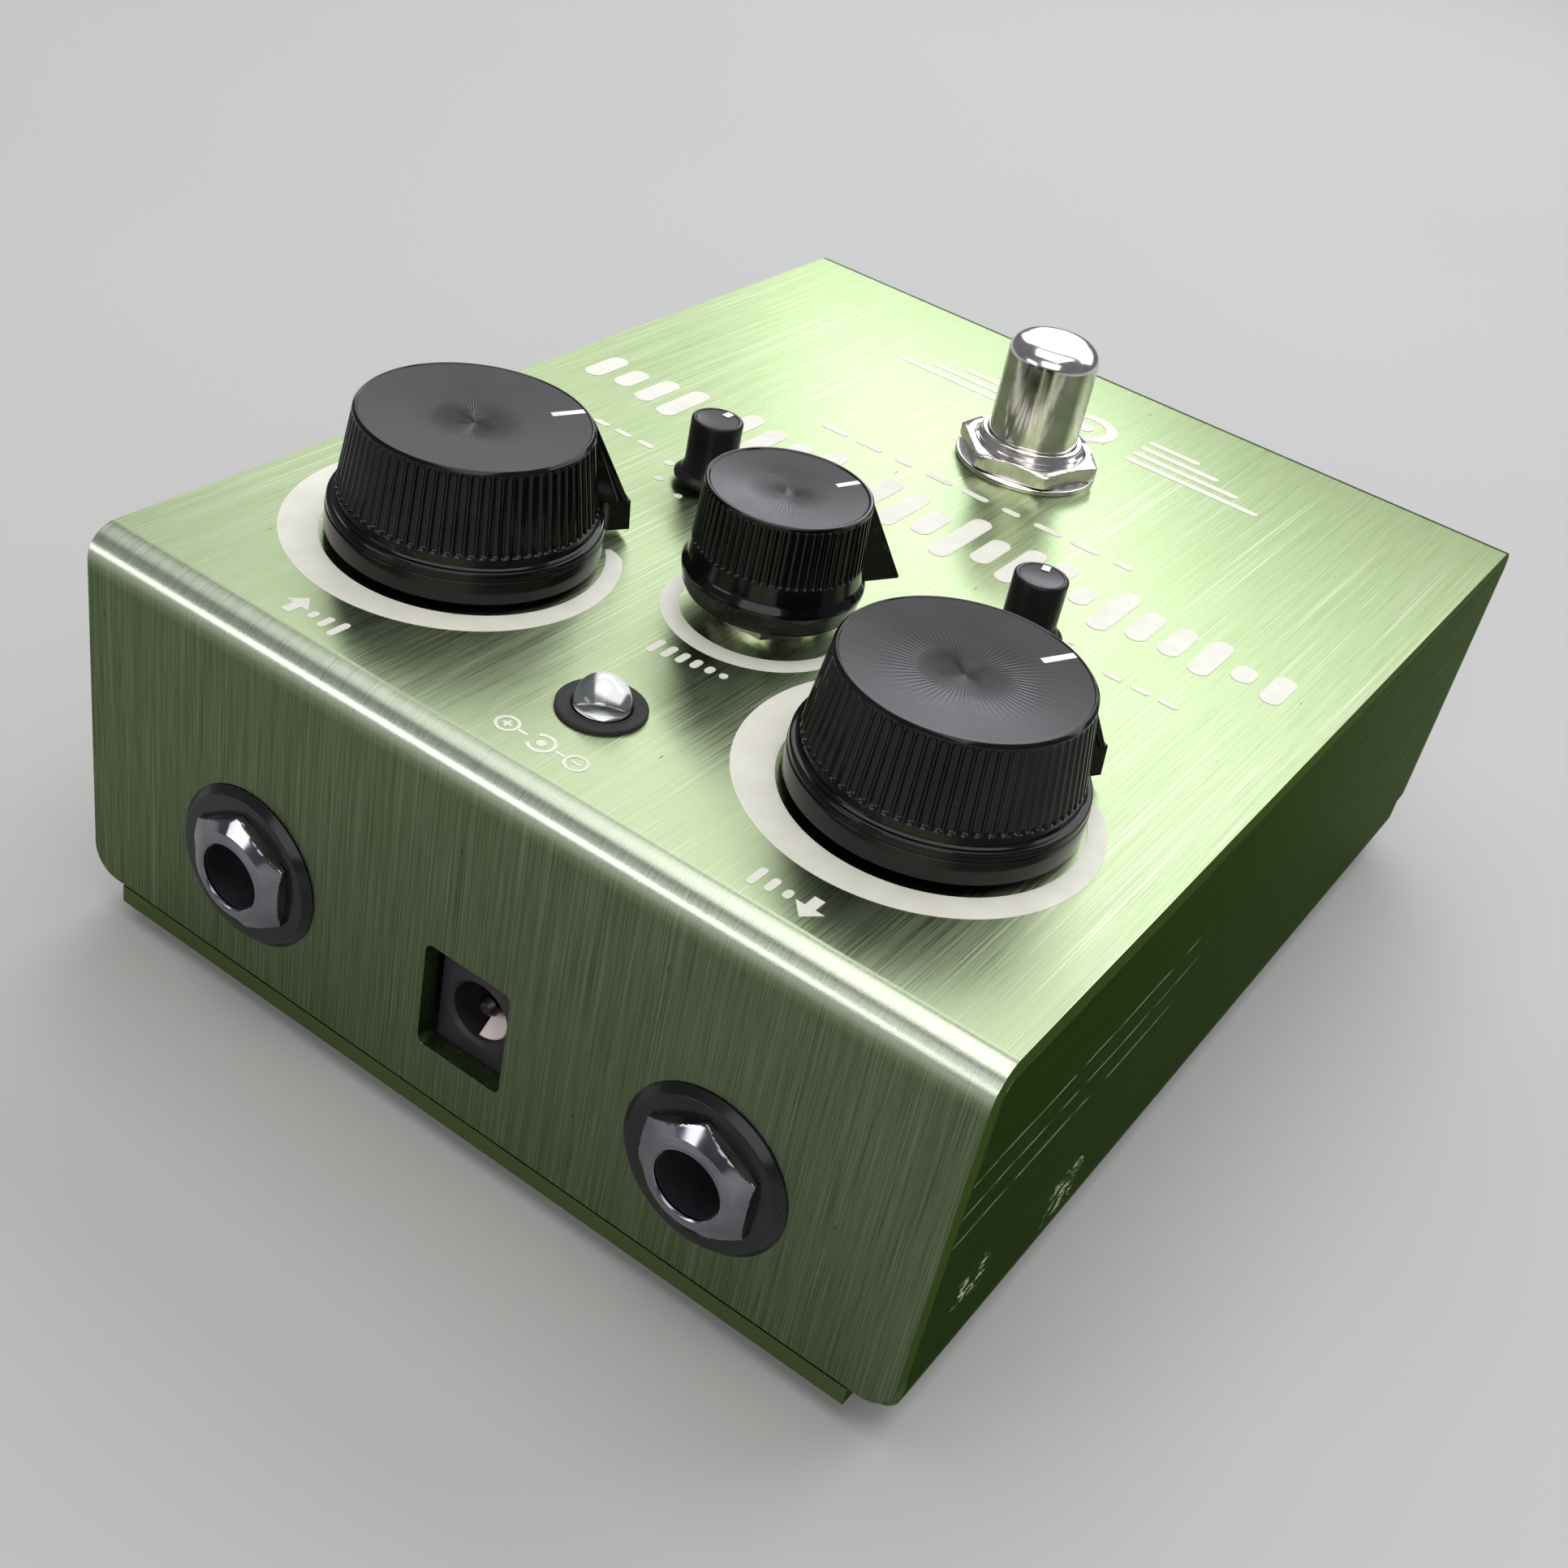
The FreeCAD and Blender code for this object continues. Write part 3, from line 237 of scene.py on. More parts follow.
def with_modifiers(mesh, *settings):
    """The mesh after a list of modifiers, each (kind, {property: value}); meshes in them become objects."""
    thing = add_object("scratch", mesh_data("scratch", mesh))
    helpers = []
    for kind, values in settings:
        modifier = thing.modifiers.new(kind.lower(), kind)
        for key, value in values.items():
            if isinstance(value, bmesh.types.BMesh):
                value = add_object("cutter", mesh_data("cutter", value))
                helpers.append(value)
            setattr(modifier, key, value)
    ready = thing.evaluated_get(bpy.context.evaluated_depsgraph_get())
    result = bmesh.new()
    result.from_mesh(ready.data)
    for extra in [thing, *helpers]:
        data = extra.data
        bpy.data.objects.remove(extra)
        bpy.data.meshes.remove(data)
    return result


def cut_away(mesh, cutter):
    return with_modifiers(mesh, ("BOOLEAN", {"operation": "DIFFERENCE", "solver": "EXACT", "object": cutter}))


def fused(mesh, addition):
    return with_modifiers(mesh, ("BOOLEAN", {"operation": "UNION", "solver": "EXACT", "object": addition}))


def bevelled(mesh, width, limit, segments):
    return with_modifiers(mesh, ("BEVEL", {
        "width": width, "segments": segments, "limit_method": "ANGLE",
        "angle_limit": math.radians(limit), "use_clamp_overlap": True,
    }))


def make_piece(name, mesh, materials, body, nodes=(), crease=32.0, paint=None, weighted=False):
    """Turn a mesh in millimetres into a named piece that rides on a body and stands for CAD nodes.
    paint(face) gives the number of a face's material."""
    mesh.normal_update()
    for face in mesh.faces:
        face.smooth = True
        face.material_index = paint(face) if paint else 0
    for edge in mesh.edges:
        if len(edge.link_faces) == 2:
            edge.smooth = edge.calc_face_angle() < math.radians(crease)
    data = mesh_data(name, mesh)
    mesh.free()
    data.transform(Matrix.Scale(MM, 4))
    for material in materials:
        data.materials.append(material)
    thing = add_object(name, data)
    if weighted:
        modifier = thing.modifiers.new("flat_normals", "WEIGHTED_NORMAL")
        modifier.keep_sharp = True
    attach(thing, body)
    if nodes:
        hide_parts(*nodes)
    return thing


# ---- material helpers

class Paint:
    """One material, with short ways to add the nodes that drive its shader."""

    def __init__(self, name, colour, roughness, **sockets):
        self.material = bpy.data.materials.new(name)
        self.material.use_nodes = True
        self.tree = self.material.node_tree
        self.shader = self.tree.nodes["Principled BSDF"]
        self.set("Base Color", (*colour, 1.0))
        self.set("Roughness", roughness)
        for socket, value in sockets.items():
            self.set(socket.replace("_", " "), value)

    def set(self, socket, value):
        self.feed(self.shader.inputs[socket], value)

    def feed(self, socket, value):
        if isinstance(value, bpy.types.NodeSocket):
            self.tree.links.new(value, socket)
        else:
            socket.default_value = value

    def finish(self, colour, roughness, normal):
        """The finished material, with its colour, gloss and surface."""
        self.set("Base Color", colour)
        self.set("Roughness", roughness)
        self.set("Normal", normal)
        return self.material

    def node(self, kind, values=(), **settings):
        made = self.tree.nodes.new("ShaderNode" + kind)
        for key, value in settings.items():
            setattr(made, key, value)
        for socket, value in dict(values).items():
            self.feed(made.inputs[socket], value)
        return made

    def position(self, scale, on_sheet=False):
        """Coordinates in millimetres times scale: of the unrolled sheet, or of the piece itself."""
        if on_sheet:
            source = self.node("UVMap", uv_map="sheet").outputs[0]
        else:
            source = self.node("TexCoord").outputs["Object"]
            scale = [1000 * share for share in scale]
        return self.node("Mapping", {"Vector": source, "Scale": scale}).outputs[0]

    def noise(self, scale, detail=2.0, on_sheet=False, roughness=0.5):
        vector = self.position(scale, on_sheet)
        return self.node("TexNoise", {
            "Vector": vector, "Scale": 1.0, "Detail": detail, "Roughness": roughness}).outputs[0]

    def spots(self, scale, on_sheet=False):
        """Distance to the nearest of scattered points."""
        return self.node("TexVoronoi", {"Vector": self.position(scale, on_sheet), "Scale": 1.0}).outputs[0]

    def span(self, value, start, end, to_start=0.0, to_end=1.0):
        """value from start..end to to_start..to_end, held at both ends."""
        return self.node("MapRange", {
            0: value, 1: start, 2: end, 3: to_start, 4: to_end}).outputs[0]

    def math(self, operation, first, second=0.0):
        return self.node("Math", {0: first, 1: second}, operation=operation).outputs[0]

    def plus(self, first, second):
        return self.math("ADD", first, second)

    def times(self, first, second):
        return self.math("MULTIPLY", first, second)

    def window(self, value, start, end, soft):
        """1 between start and end, falling to 0 over soft."""
        rise = self.span(value, start - soft, start)
        fall = self.span(value, end, end + soft, 1.0, 0.0)
        return self.times(rise, fall)

    def mix(self, factor, first, second):
        made = self.node("Mix", data_type="RGBA")
        for socket, value in ((0, factor), (6, first), (7, second)):
            if isinstance(value, tuple) and len(value) == 3:
                value = (*value, 1.0)
            self.feed(made.inputs[socket], value)
        return made.outputs[2]

    def bump(self, height, depth, strength=1.0, after=None):
        """depth in millimetres."""
        values = {"Height": height, "Distance": depth * MM, "Strength": strength}
        if after:
            values["Normal"] = after
        return self.node("Bump", values).outputs[0]


GREEN = (0.47, 0.54, 0.355)
GREEN_DEEP = (0.29, 0.37, 0.20)
GREEN_PALE = (0.78, 0.83, 0.70)
# painted shade: the dark green that the walls past a bend are mixed towards
GREEN_PAINTED_SHADE = (0.018, 0.040, 0.006)


def anodised_sheet(name, bend_start, bend_length, painted_shade_factor, coat, painted_wall_shade, side_wear=False):
    """Brushed and dyed aluminium sheet. The grain runs along the second coordinate of the unrolled sheet. The
    walls past the bend carry painted shade, mixed towards a dark green; a shade factor below 1 darkens the
    whole colour as painted shade.
    """
    # a factor below 1 darkens the whole sheet's colour as painted shade
    green, deep, pale = (tuple(part * painted_shade_factor for part in tint) for tint in (GREEN, GREEN_DEEP, GREEN_PALE))
    paint = Paint(name, green, 0.3, Metallic=1.0, Anisotropic=0.88, Coat_Weight=coat, Coat_Roughness=0.2)
    paint.set("Specular Tint", (*GREEN_DEEP, 1.0))
    fine = paint.noise((16.0, 0.13, 1), 2, True)
    medium = paint.noise((5.5, 0.035, 1), 4, True, 0.6)
    wide = paint.noise((0.9, 0.012, 1), 2, True)
    streaks = paint.plus(paint.times(fine, 0.45), paint.times(medium, 0.43))
    streaks = paint.plus(streaks, paint.times(wide, 0.12))
    colour = paint.mix(paint.span(streaks, 0.37, 0.62), deep, green)
    bright_lines = paint.span(paint.noise((8.0, 0.018, 1), 1, True), 0.64, 0.72, 0.0, 0.6)
    dark_lines = paint.span(paint.noise((6.6, 0.027, 1), 1, True), 0.66, 0.73, 0.0, 0.6)
    colour = paint.mix(bright_lines, colour, pale)
    colour = paint.mix(dark_lines, colour, deep)
    specks = paint.span(paint.spots((0.55, 0.16, 1), True), 0.03, 0.07, 0.75, 0.0)
    specks = paint.times(specks, paint.span(paint.noise((0.2, 0.2, 1), 1, True), 0.55, 0.62))
    colour = paint.mix(specks, colour, (0.05, 0.08, 0.03))
    roughness = paint.span(streaks, 0.35, 0.65, 0.22, 0.4)
    height = paint.plus(fine, paint.times(medium, 0.8))

    sheet = paint.node("SeparateXYZ", {0: paint.position((1, 1, 1), True)})
    across, along = sheet.outputs[0], sheet.outputs[1]
    folded = paint.math("ABSOLUTE", across if side_wear else along)
    bend = paint.window(folded, bend_start + 1.2, bend_start + bend_length - 1.2, 1.2)
    frost = paint.noise((7.0, 7.0, 1), 3, True, 0.7)
    # the bend is mixed towards pale green: its frosted finish, and a painted highlight along the fold
    frost_and_painted_highlight = paint.times(bend, paint.span(frost, 0.35, 0.7, 0.45, 1.0))
    colour = paint.mix(frost_and_painted_highlight, colour, pale)
    bend_end = bend_start + bend_length
    # painted shade: past the bend the walls are mixed towards a dark green, varied a little by the grain's
    # streaks
    wall = paint.span(folded, bend_end - 1.5, bend_end + 1.0, 0.0, painted_wall_shade)
    wall_streaks = paint.span(streaks, 0.40, 0.60, 1.15, 0.85)
    colour = paint.mix(paint.times(wall, wall_streaks), colour, GREEN_PAINTED_SHADE)
    if side_wear:
        colour, roughness = wear_side(paint, across, along, colour, roughness)
    normal = paint.bump(height, 0.004, 0.7)
    normal = paint.bump(paint.times(frost, bend), 0.03, 0.4, normal)
    paint.set("Tangent", paint.node("Tangent", direction_type="UV_MAP", uv_map="sheet").outputs[0])
    return paint.finish(colour, roughness, normal)


def wear_side(paint, across, along, colour, roughness):
    """Rubbed patches and long scratches on the output side of the tray."""
    side = paint.span(across, -48.0, -47.0, 1.0, 0.0)
    bare = (0.62, 0.66, 0.50)
    rubbed = 0.0
    for near, far, upper, lower in ((30, 35, -56.0, -51.0), (49, 53, -58.5, -55.5)):
        patch = paint.times(paint.window(along, near, far, 7.0), paint.window(across, upper, lower, 7.0))
        rubbed = paint.math("MAXIMUM", rubbed, patch)
    flecks = paint.noise((1.3, 0.6, 1), 5, True, 0.75)
    wear = paint.span(paint.times(flecks, rubbed), 0.52, 0.58)
    wander = paint.times(paint.noise((0.02, 0.05, 1), 1, True), 1.6)
    waver = paint.plus(across, wander)
    broken = paint.span(paint.noise((3.0, 0.25, 1), 3, True), 0.42, 0.5)
    for line in (-67.0, -70.4, -74.0):
        scratch = paint.times(paint.window(waver, line, line + 0.08, 0.12), broken)
        scratch = paint.times(scratch, paint.window(along, 20, 57, 6.0))
        wear = paint.math("MAXIMUM", wear, paint.times(scratch, 0.8))
    wear = paint.times(wear, side)
    return paint.mix(wear, colour, bare), paint.plus(roughness, paint.times(wear, 0.2))


def cut_edge_metal():
    """The sheared edge of the sheet: dyed too, but coarse and sparkling."""
    paint = Paint("anodised_cut_edge", GREEN, 0.35, Metallic=1.0)
    paint.set("Specular Tint", (*GREEN_DEEP, 1.0))
    grit = paint.noise((9, 9, 9), 3)
    colour = paint.mix(paint.span(grit, 0.35, 0.7), (0.05, 0.08, 0.03), (0.22, 0.29, 0.14))
    return paint.finish(colour, paint.span(grit, 0.3, 0.7, 0.28, 0.45), paint.bump(grit, 0.02, 0.5))


def plain_metal(name, colour, roughness, smudge=0.1, grain=(1, 1, 1), depth=0.002, **sockets):
    """Plated or bare metal with faint smudges and a fine surface."""
    paint = Paint(name, colour, roughness, Metallic=1.0, **sockets)
    film = paint.noise([0.35 * part for part in grain], 3)
    fine = paint.noise([6 * part for part in grain], 2)
    darker = tuple(part * 0.72 for part in colour)
    tint = paint.mix(paint.span(film, 0.35, 0.7), darker, colour)
    gloss = paint.span(film, 0.3, 0.7, roughness, roughness + smudge)
    return paint.finish(tint, gloss, paint.bump(fine, depth, 0.5))


def moulded(name, colour, roughness, grain=2.5, depth=0.004, spread=0.08, dust=0.0, **sockets):
    """Moulded plastic or rubber: a fine grain, uneven gloss and a little dust."""
    paint = Paint(name, colour, roughness, **sockets)
    fine = paint.noise((grain, grain, grain), 3, roughness=0.6)
    film = paint.noise((0.25, 0.25, 0.25), 3)
    lighter = tuple(min(1.0, part * 1.35 + 0.004) for part in colour)
    tint = paint.mix(paint.span(film, 0.35, 0.7), colour, lighter)
    if dust:
        motes = paint.span(paint.spots((0.9, 0.9, 0.9)), 0.03, 0.06, dust, 0.0)
        motes = paint.times(motes, paint.span(paint.noise((0.3, 0.3, 0.3), 1), 0.56, 0.6))
        tint = paint.mix(motes, tint, (0.35, 0.33, 0.32))
    gloss = paint.span(film, 0.3, 0.7, roughness, roughness + spread)
    return paint.finish(tint, gloss, paint.bump(fine, depth, 0.6))


def clear_resin():
    paint = Paint("clear_resin", (0.97, 0.98, 0.99), 0.03, Transmission_Weight=1.0, IOR=1.5)
    flow = paint.noise((0.5, 0.5, 0.5), 2)
    paint.set("Roughness", paint.span(flow, 0.3, 0.7, 0.02, 0.06))
    paint.set("Normal", paint.bump(flow, 0.02, 0.15))
    return paint.material


def screen_print():
    """Thick cream ink, slightly uneven."""
    paint = Paint("cream_print", (0.80, 0.785, 0.69), 0.45)
    film = paint.noise((0.4, 0.4, 0.4), 3)
    fine = paint.noise((3, 3, 3), 2)
    tint = paint.mix(paint.span(film, 0.3, 0.7), (0.76, 0.745, 0.65), (0.84, 0.825, 0.74))
    return paint.finish(tint, paint.span(fine, 0.3, 0.7, 0.38, 0.55), paint.bump(fine, 0.01, 0.4))


BRUSHED_COVER = anodised_sheet("anodised_cover", HALF_DEPTH - COVER_BEND, COVER_BEND * math.pi / 2,
                               painted_shade_factor=1.0, coat=0.2, painted_wall_shade=0.68)
# the tray is the cover's anodised finish darkened to 0.3 times as painted shade, with more painted shade on
# its side walls
BRUSHED_TRAY = anodised_sheet("anodised_tray_painted_shade", HALF_WIDTH - TRAY_BEND, TRAY_BEND * math.pi / 2,
                              painted_shade_factor=0.3, coat=0.0, painted_wall_shade=0.6, side_wear=True)
CUT_EDGE = cut_edge_metal()
PRINT = screen_print()
KNOB_GLOSS = moulded("knob_gloss", (0.0025, 0.0025, 0.003), 0.08, 1.5, 0.004, 0.05, dust=0.3,
                     Specular_IOR_Level=0.3)
KNOB_SATIN = moulded("knob_satin", (0.013, 0.0105, 0.012), 0.18, 7.0, 0.006, 0.05, dust=0.25,
                     Specular_IOR_Level=0.14)
POINTER_WHITE = moulded("pointer_white", (0.72, 0.75, 0.80), 0.4)
CHROME = plain_metal("chrome", (0.93, 0.88, 0.86), 0.12, 0.08)
DARK_CHROME = plain_metal("dark_chrome", (0.24, 0.24, 0.275), 0.07, 0.1)
WORN_CHROME = plain_metal("worn_chrome", (0.19, 0.165, 0.15), 0.3, 0.25, depth=0.02)
STEEL = plain_metal("plain_steel", (0.56, 0.57, 0.58), 0.28, 0.15)
NICKEL = plain_metal("nickel_contact", (0.66, 0.61, 0.58), 0.3, 0.12)
# painted shade: the inlet's pin is nearly black metal, as it sits in shadow deep in the bore
PIN_METAL_PAINTED_SHADE = plain_metal("pin_metal_painted_shade", (0.06, 0.055, 0.055), 0.35, 0.12)
LEAF_METAL = moulded("leaf_metal", (0.56, 0.47, 0.46), 0.5)
LAMP_BACK = plain_metal("lamp_back", (0.6, 0.61, 0.6), 0.16, 0.08)
ALUMINIUM = plain_metal("shaft_aluminium", (0.7, 0.7, 0.71), 0.3, 0.12)
RUBBER = moulded("rubber", (0.017, 0.017, 0.018), 0.62, 3.0, 0.02, 0.12)
WASHER_BLACK = moulded("washer_black", (0.006, 0.006, 0.008), 0.17, 1.2, 0.004, 0.08, dust=0.3,
                       Specular_IOR_Level=0.3)
HOUSING_BLACK = moulded("housing_black", (0.018, 0.015, 0.020), 0.42, 3.0, 0.01, Specular_IOR_Level=0.3)
RESIN = clear_resin()
SLOT_MATERIALS = {
    "anodised_green": CUT_EDGE,
    "black_knob": KNOB_GLOSS,
    "chrome": CHROME,
    "plain_steel": STEEL,
    "nickel_contact": NICKEL,
    "shaft_aluminium": ALUMINIUM,
    "rubber": RUBBER,
    "black_washer": WASHER_BLACK,
    "black_housing": HOUSING_BLACK,
    "clear_lens": RESIN,
}
for slot, *look in (
    ("trim_white", (0.75, 0.75, 0.72), 0.45),
    ("circuit_board", (0.02, 0.12, 0.05), 0.35, 1.0, 0.01),
    ("component_black", (0.02, 0.02, 0.022), 0.5, 3.0),
    ("capacitor_sleeve", (0.015, 0.02, 0.06), 0.35),
    ("film_capacitor", (0.45, 0.05, 0.03), 0.4),
    ("resistor_body", (0.25, 0.45, 0.55), 0.4),
    ("ribbon_grey", (0.4, 0.41, 0.43), 0.5),
):
    SLOT_MATERIALS[slot] = moulded(slot, *look)


# ---- the folded box

BEND_STEPS = 14


def corner_rows(radius, steps=8):
    """(distance from the edge, how far the corner is set in) for a rounded sheet corner."""
    rows = []
    for step in range(steps + 1):
        angle = math.pi / 2 * step / steps
        rows.append((radius * (1 - math.cos(angle)), radius * (1 - math.sin(angle))))
    return rows


def fold_path(half, top, bottom, bend, corner, wall_down):
    """Half of a folded sheet's outline, from its middle outwards: (sideways, height, inset of its end)."""
    flat, edge, down = (top, bottom, 1) if wall_down else (bottom, top, -1)
    path = []
    for step in range(BEND_STEPS + 1):
        angle = math.pi / 2 * step / BEND_STEPS
        path.append((half - bend + bend * math.sin(angle), flat - down * bend * (1 - math.cos(angle)), 0.0))
    for distance, inset in reversed(corner_rows(corner)):
        path.append((half, edge + down * distance, inset))
    return path


def folded_sheet(path, half_length, tongue=None):
    """A sheet 2 mm thick that follows a symmetric path in the xz plane and runs along y."""
    mesh = bmesh.new()
    mirrored = [(-x, z, inset) for x, z, inset in reversed(path)]
    middle = []
    if tongue:
        tongue_half, tongue_end = tongue
        middle = [(-tongue_half, path[0][1], 0.0), (tongue_half, path[0][1], 0.0)]
    rows = []
    for x, z, inset in [*mirrored, *middle, *path]:
        reach = half_length - inset
        rows.append([mesh.verts.new((x, -reach, z)), mesh.verts.new((x, reach, z))])
    for one, other in zip(rows, rows[1:]):
        mesh.faces.new((one[0], other[0], other[1], one[1]))
    if tongue:
        left, right = rows[len(mirrored)], rows[len(mirrored) + 1]
        for end, side in ((0, -1), (1, 1)):
            corners = (left[end].co, right[end].co)
            lip = [mesh.verts.new((corner.x, side * tongue_end, corner.z)) for corner in corners]
            mesh.faces.new((left[end], right[end], lip[1], lip[0]))
    bmesh.ops.recalc_face_normals(mesh, faces=mesh.faces)
    mesh.normal_update()
    broadest = max(mesh.faces, key=lambda face: face.calc_area() * abs(face.normal.z))
    walls_down = path[-1][1] < path[0][1]
    if (broadest.normal.z > 0) != walls_down:
        bmesh.ops.reverse_faces(mesh, faces=mesh.faces)
    return with_modifiers(mesh, ("SOLIDIFY", {"thickness": SHEET, "offset": -1.0, "use_even_offset": True}))


def unroll(mesh, half, bend, flat, wall_down, fold_axis):
    """Write each face corner's place on the unrolled sheet, in millimetres, as UV map "sheet".
    fold_axis is the axis that the sheet folds along: the grain lies across a fold on the cover (u is x)
    and along it on the tray (v is y)."""
    layer = mesh.loops.layers.uv.new("sheet")
    centre_at = half - bend
    centre_height = flat - bend if wall_down else flat + bend
    for face in mesh.faces:
        for loop in face.loops:
            x, y, z = loop.vert.co
            sideways = y if fold_axis == "x" else x
            sign = 1 if sideways >= 0 else -1
            out = abs(sideways) - centre_at
            up = z - centre_height if wall_down else centre_height - z
            if out <= 0:
                path = abs(sideways)
            elif up <= 0:
                path = centre_at + bend * math.pi / 2 - up
            else:
                path = centre_at + bend * math.atan2(out, up)
            path *= sign
            loop[layer].uv = (x, path) if fold_axis == "x" else (path, y)


def is_skin(face, half, bend, flat, wall_down, fold_axis):
    """Whether a face is the sheet's broad side, and not a cut edge or the wall of a hole."""
    middle = face.calc_center_median()
    sideways, normal = (middle.y, face.normal.y) if fold_axis == "x" else (middle.x, face.normal.x)
    along_fold = abs(face.normal.x if fold_axis == "x" else face.normal.y)
    on_wall = middle.z < flat - bend if wall_down else middle.z > flat + bend
    if on_wall:
        return abs(normal) > 0.7
    if abs(sideways) < half - bend:
        return abs(face.normal.z) > 0.7
    return along_fold < 0.5


def finish_sheet(name, node, sheet, material, shape):
    """Make a folded sheet a piece, with eased edges and a coarser finish where it is cut."""
    sheet = bevelled(sheet, 0.12, 40.0, 2)
    sheet.normal_update()
    unroll(sheet, *shape)
    make_piece(name, sheet, (material, CUT_EDGE), ROOT, (node,),
               paint=lambda face: 0 if is_skin(face, *shape) else 1, weighted=True)


def make_cover():
    path = fold_path(HALF_DEPTH, PANEL, COVER_BOTTOM, COVER_BEND, 3.0, True)
    sheet = moved(folded_sheet(path, HALF_WIDTH), Matrix.Rotation(math.pi / 2, 4, "Z"))
    holes = []
    for radius, places in ((3.7, KNOB_CENTRES), (2.1, TRIM_CENTRES), (3.2, [LAMP]), (6.15, [SWITCH])):
        holes += [prism(circle_outline(radius, x, y), PANEL - 4, PANEL + 1) for x, y in places]
    window = rounded([(-WINDOW_HALF, WINDOW_BOTTOM, 0.8), (WINDOW_HALF, WINDOW_BOTTOM, 0.8),
                      (WINDOW_HALF, WINDOW_TOP, 0.8), (-WINDOW_HALF, WINDOW_TOP, 0.8)], closed=True)
    for outline in [window] + [circle_outline(4.7, x, JACK_HEIGHT) for x in JACKS]:
        holes.append(moved(prism(outline, HALF_DEPTH - 4, HALF_DEPTH + 1), ON_REAR_WALL))
    finish_sheet("cover_sheet", "cover", cut_away(sheet, joined(*holes)), BRUSHED_COVER,
                 (HALF_DEPTH, COVER_BEND, PANEL, True, "x"))


def make_tray():
    plate_top = high("base_tray").z
    plate_end = 58.85
    path = fold_path(HALF_WIDTH, plate_top, TRAY_BOTTOM, TRAY_BEND, 1.2, False)
    sheet = folded_sheet(path, plate_end, tongue=(44.0, HALF_DEPTH))
    sinks = []
    for x, y in ((-42, -54), (-42, 54), (42, -54), (42, 54)):
        sink = turned([(0, -1), (4.0, -1), (3.0, 0), (1.7, 1.3), (1.7, 3), (0, 3)], even_angles(48))
        sinks.append(moved(sink, Matrix.Translation((x, y, TRAY_BOTTOM))))
    finish_sheet("base_tray_sheet", "base_tray", cut_away(sheet, joined(*sinks)), BRUSHED_TRAY,
                 (HALF_WIDTH, TRAY_BEND, TRAY_BOTTOM, False, "y"))


def make_feet():
    feet = []
    radius = 6.0
    reach = high("rubber_feet") - centre("rubber_feet")
    profile = rounded([(0, 0), (4.2, 0, 0.3), (4.6, 0.35, 0.2), (5.3, 0.0, 0.35), (radius, 2.5), (0, 2.5)])
    for side in (-1, 1):
        for end in (-1, 1):
            place = (side * (reach.x - radius), end * (reach.y - radius), 0)
            feet.append(moved(turned(profile, even_angles(64)), Matrix.Translation(place)))
    make_piece("rubber_feet_set", joined(*feet), (RUBBER,), ROOT, ("rubber_feet",))


# ---- knobs

def wrapped(angle):
    """The angle brought between -pi and pi."""
    return (angle + math.pi) % FULL_TURN - math.pi


def teardrop(angle, circle, tip, half_thickness, fillet):
    """Radius of a round skirt that flares into the pointer fin at angle 0."""
    angle = abs(wrapped(angle))
    if angle <= math.atan2(half_thickness, tip):
        return tip / math.cos(angle)
    offset = half_thickness + fillet
    along = math.sqrt((circle + fillet) ** 2 - offset ** 2)
    if angle <= math.atan2(half_thickness, along):
        return half_thickness / math.sin(angle)
    if angle < math.atan2(offset, along):
        reach = along * math.cos(angle) + offset * math.sin(angle)
        inside = reach ** 2 - along ** 2 - offset ** 2 + fillet ** 2
        return reach - math.sqrt(max(0.0, inside))
    return circle


def flute_angles(count):
    """Angles that follow each flute closely, and the sides of the fin too."""
    pitch = FULL_TURN / count
    shares = (0.0, 0.08, 0.15, 0.28, 0.5, 0.72, 0.85, 0.92)
    angles = {pitch * (number + share) for number in range(count) for share in shares}
    for degrees in (4.7, 4.96, 5.2, 5.6, 6.0, 6.4, 6.9, 7.4, 8.2, 9.2, 10.4, 11.6):
        for side in (-1, 1):
            angles.add(math.radians(side * degrees) % FULL_TURN)
    ordered = sorted(angles)
    following = ordered[1:] + [ordered[0] + FULL_TURN]
    return [angle for angle, after in zip(ordered, following) if after - angle > 1e-3]


def fluted_radius(flutes, fin, radius, height, angle):
    """The knob's radius with its flutes cut in, and its skirt drawn out to the fin."""
    count, depth, start, end = flutes
    skirt_top, tip_low, tip_high, half_thickness = fin
    if height <= skirt_top and radius > 8.0:
        tip = tip_low + (tip_high - tip_low) * height / skirt_top
        return teardrop(angle, radius, tip, half_thickness, 1.6)
    if not start < height < end:
        return radius
    share = angle * count / FULL_TURN % 1
    across = (share - 0.5) / 0.42
    run = 0.45
    past_end = max(0.0, (start + run - height) / run, (height - end + run) / run)
    return radius - depth * math.sqrt(max(0.0, 1 - across ** 2 - past_end ** 2))


def fin_slab(outline, thickness):
    """The upright part of the pointer, from a (radius, height) outline, with its outer edges eased."""
    slab = prism(outline, -thickness / 2, thickness / 2)
    moved(slab, Matrix.Rotation(math.pi / 2, 4, "X"))
    return bevelled(slab, 0.18, 20.0, 3)


def make_knob(name, node, shaft, body, pointer, profile, flutes, fin, slab, thickness, line):
    """A fluted pointer knob with its white line, standing on the panel and turned to its pointer's angle."""
    round_part = turned(profile, flute_angles(flutes[0]), partial(fluted_radius, flutes, fin))
    knob = fused(round_part, fin_slab(slab, thickness))
    place = on_panel(*centre(shaft).xy, pointer)
    top = line["face"]
    make_piece(name, moved(knob, place), (KNOB_GLOSS, KNOB_SATIN), body, (node,),
               paint=lambda face: int(is_top(face, place, top)))
    half = line["width"] / 2
    mark = woven([[(radius, -half, height), (radius, half, height)] for radius, height in line["points"]])
    mark = with_modifiers(mark, ("SOLIDIFY", {"thickness": 0.04, "offset": 0.0}))
    make_piece(name + "_line", moved(mark, place), (POINTER_WHITE,), body)


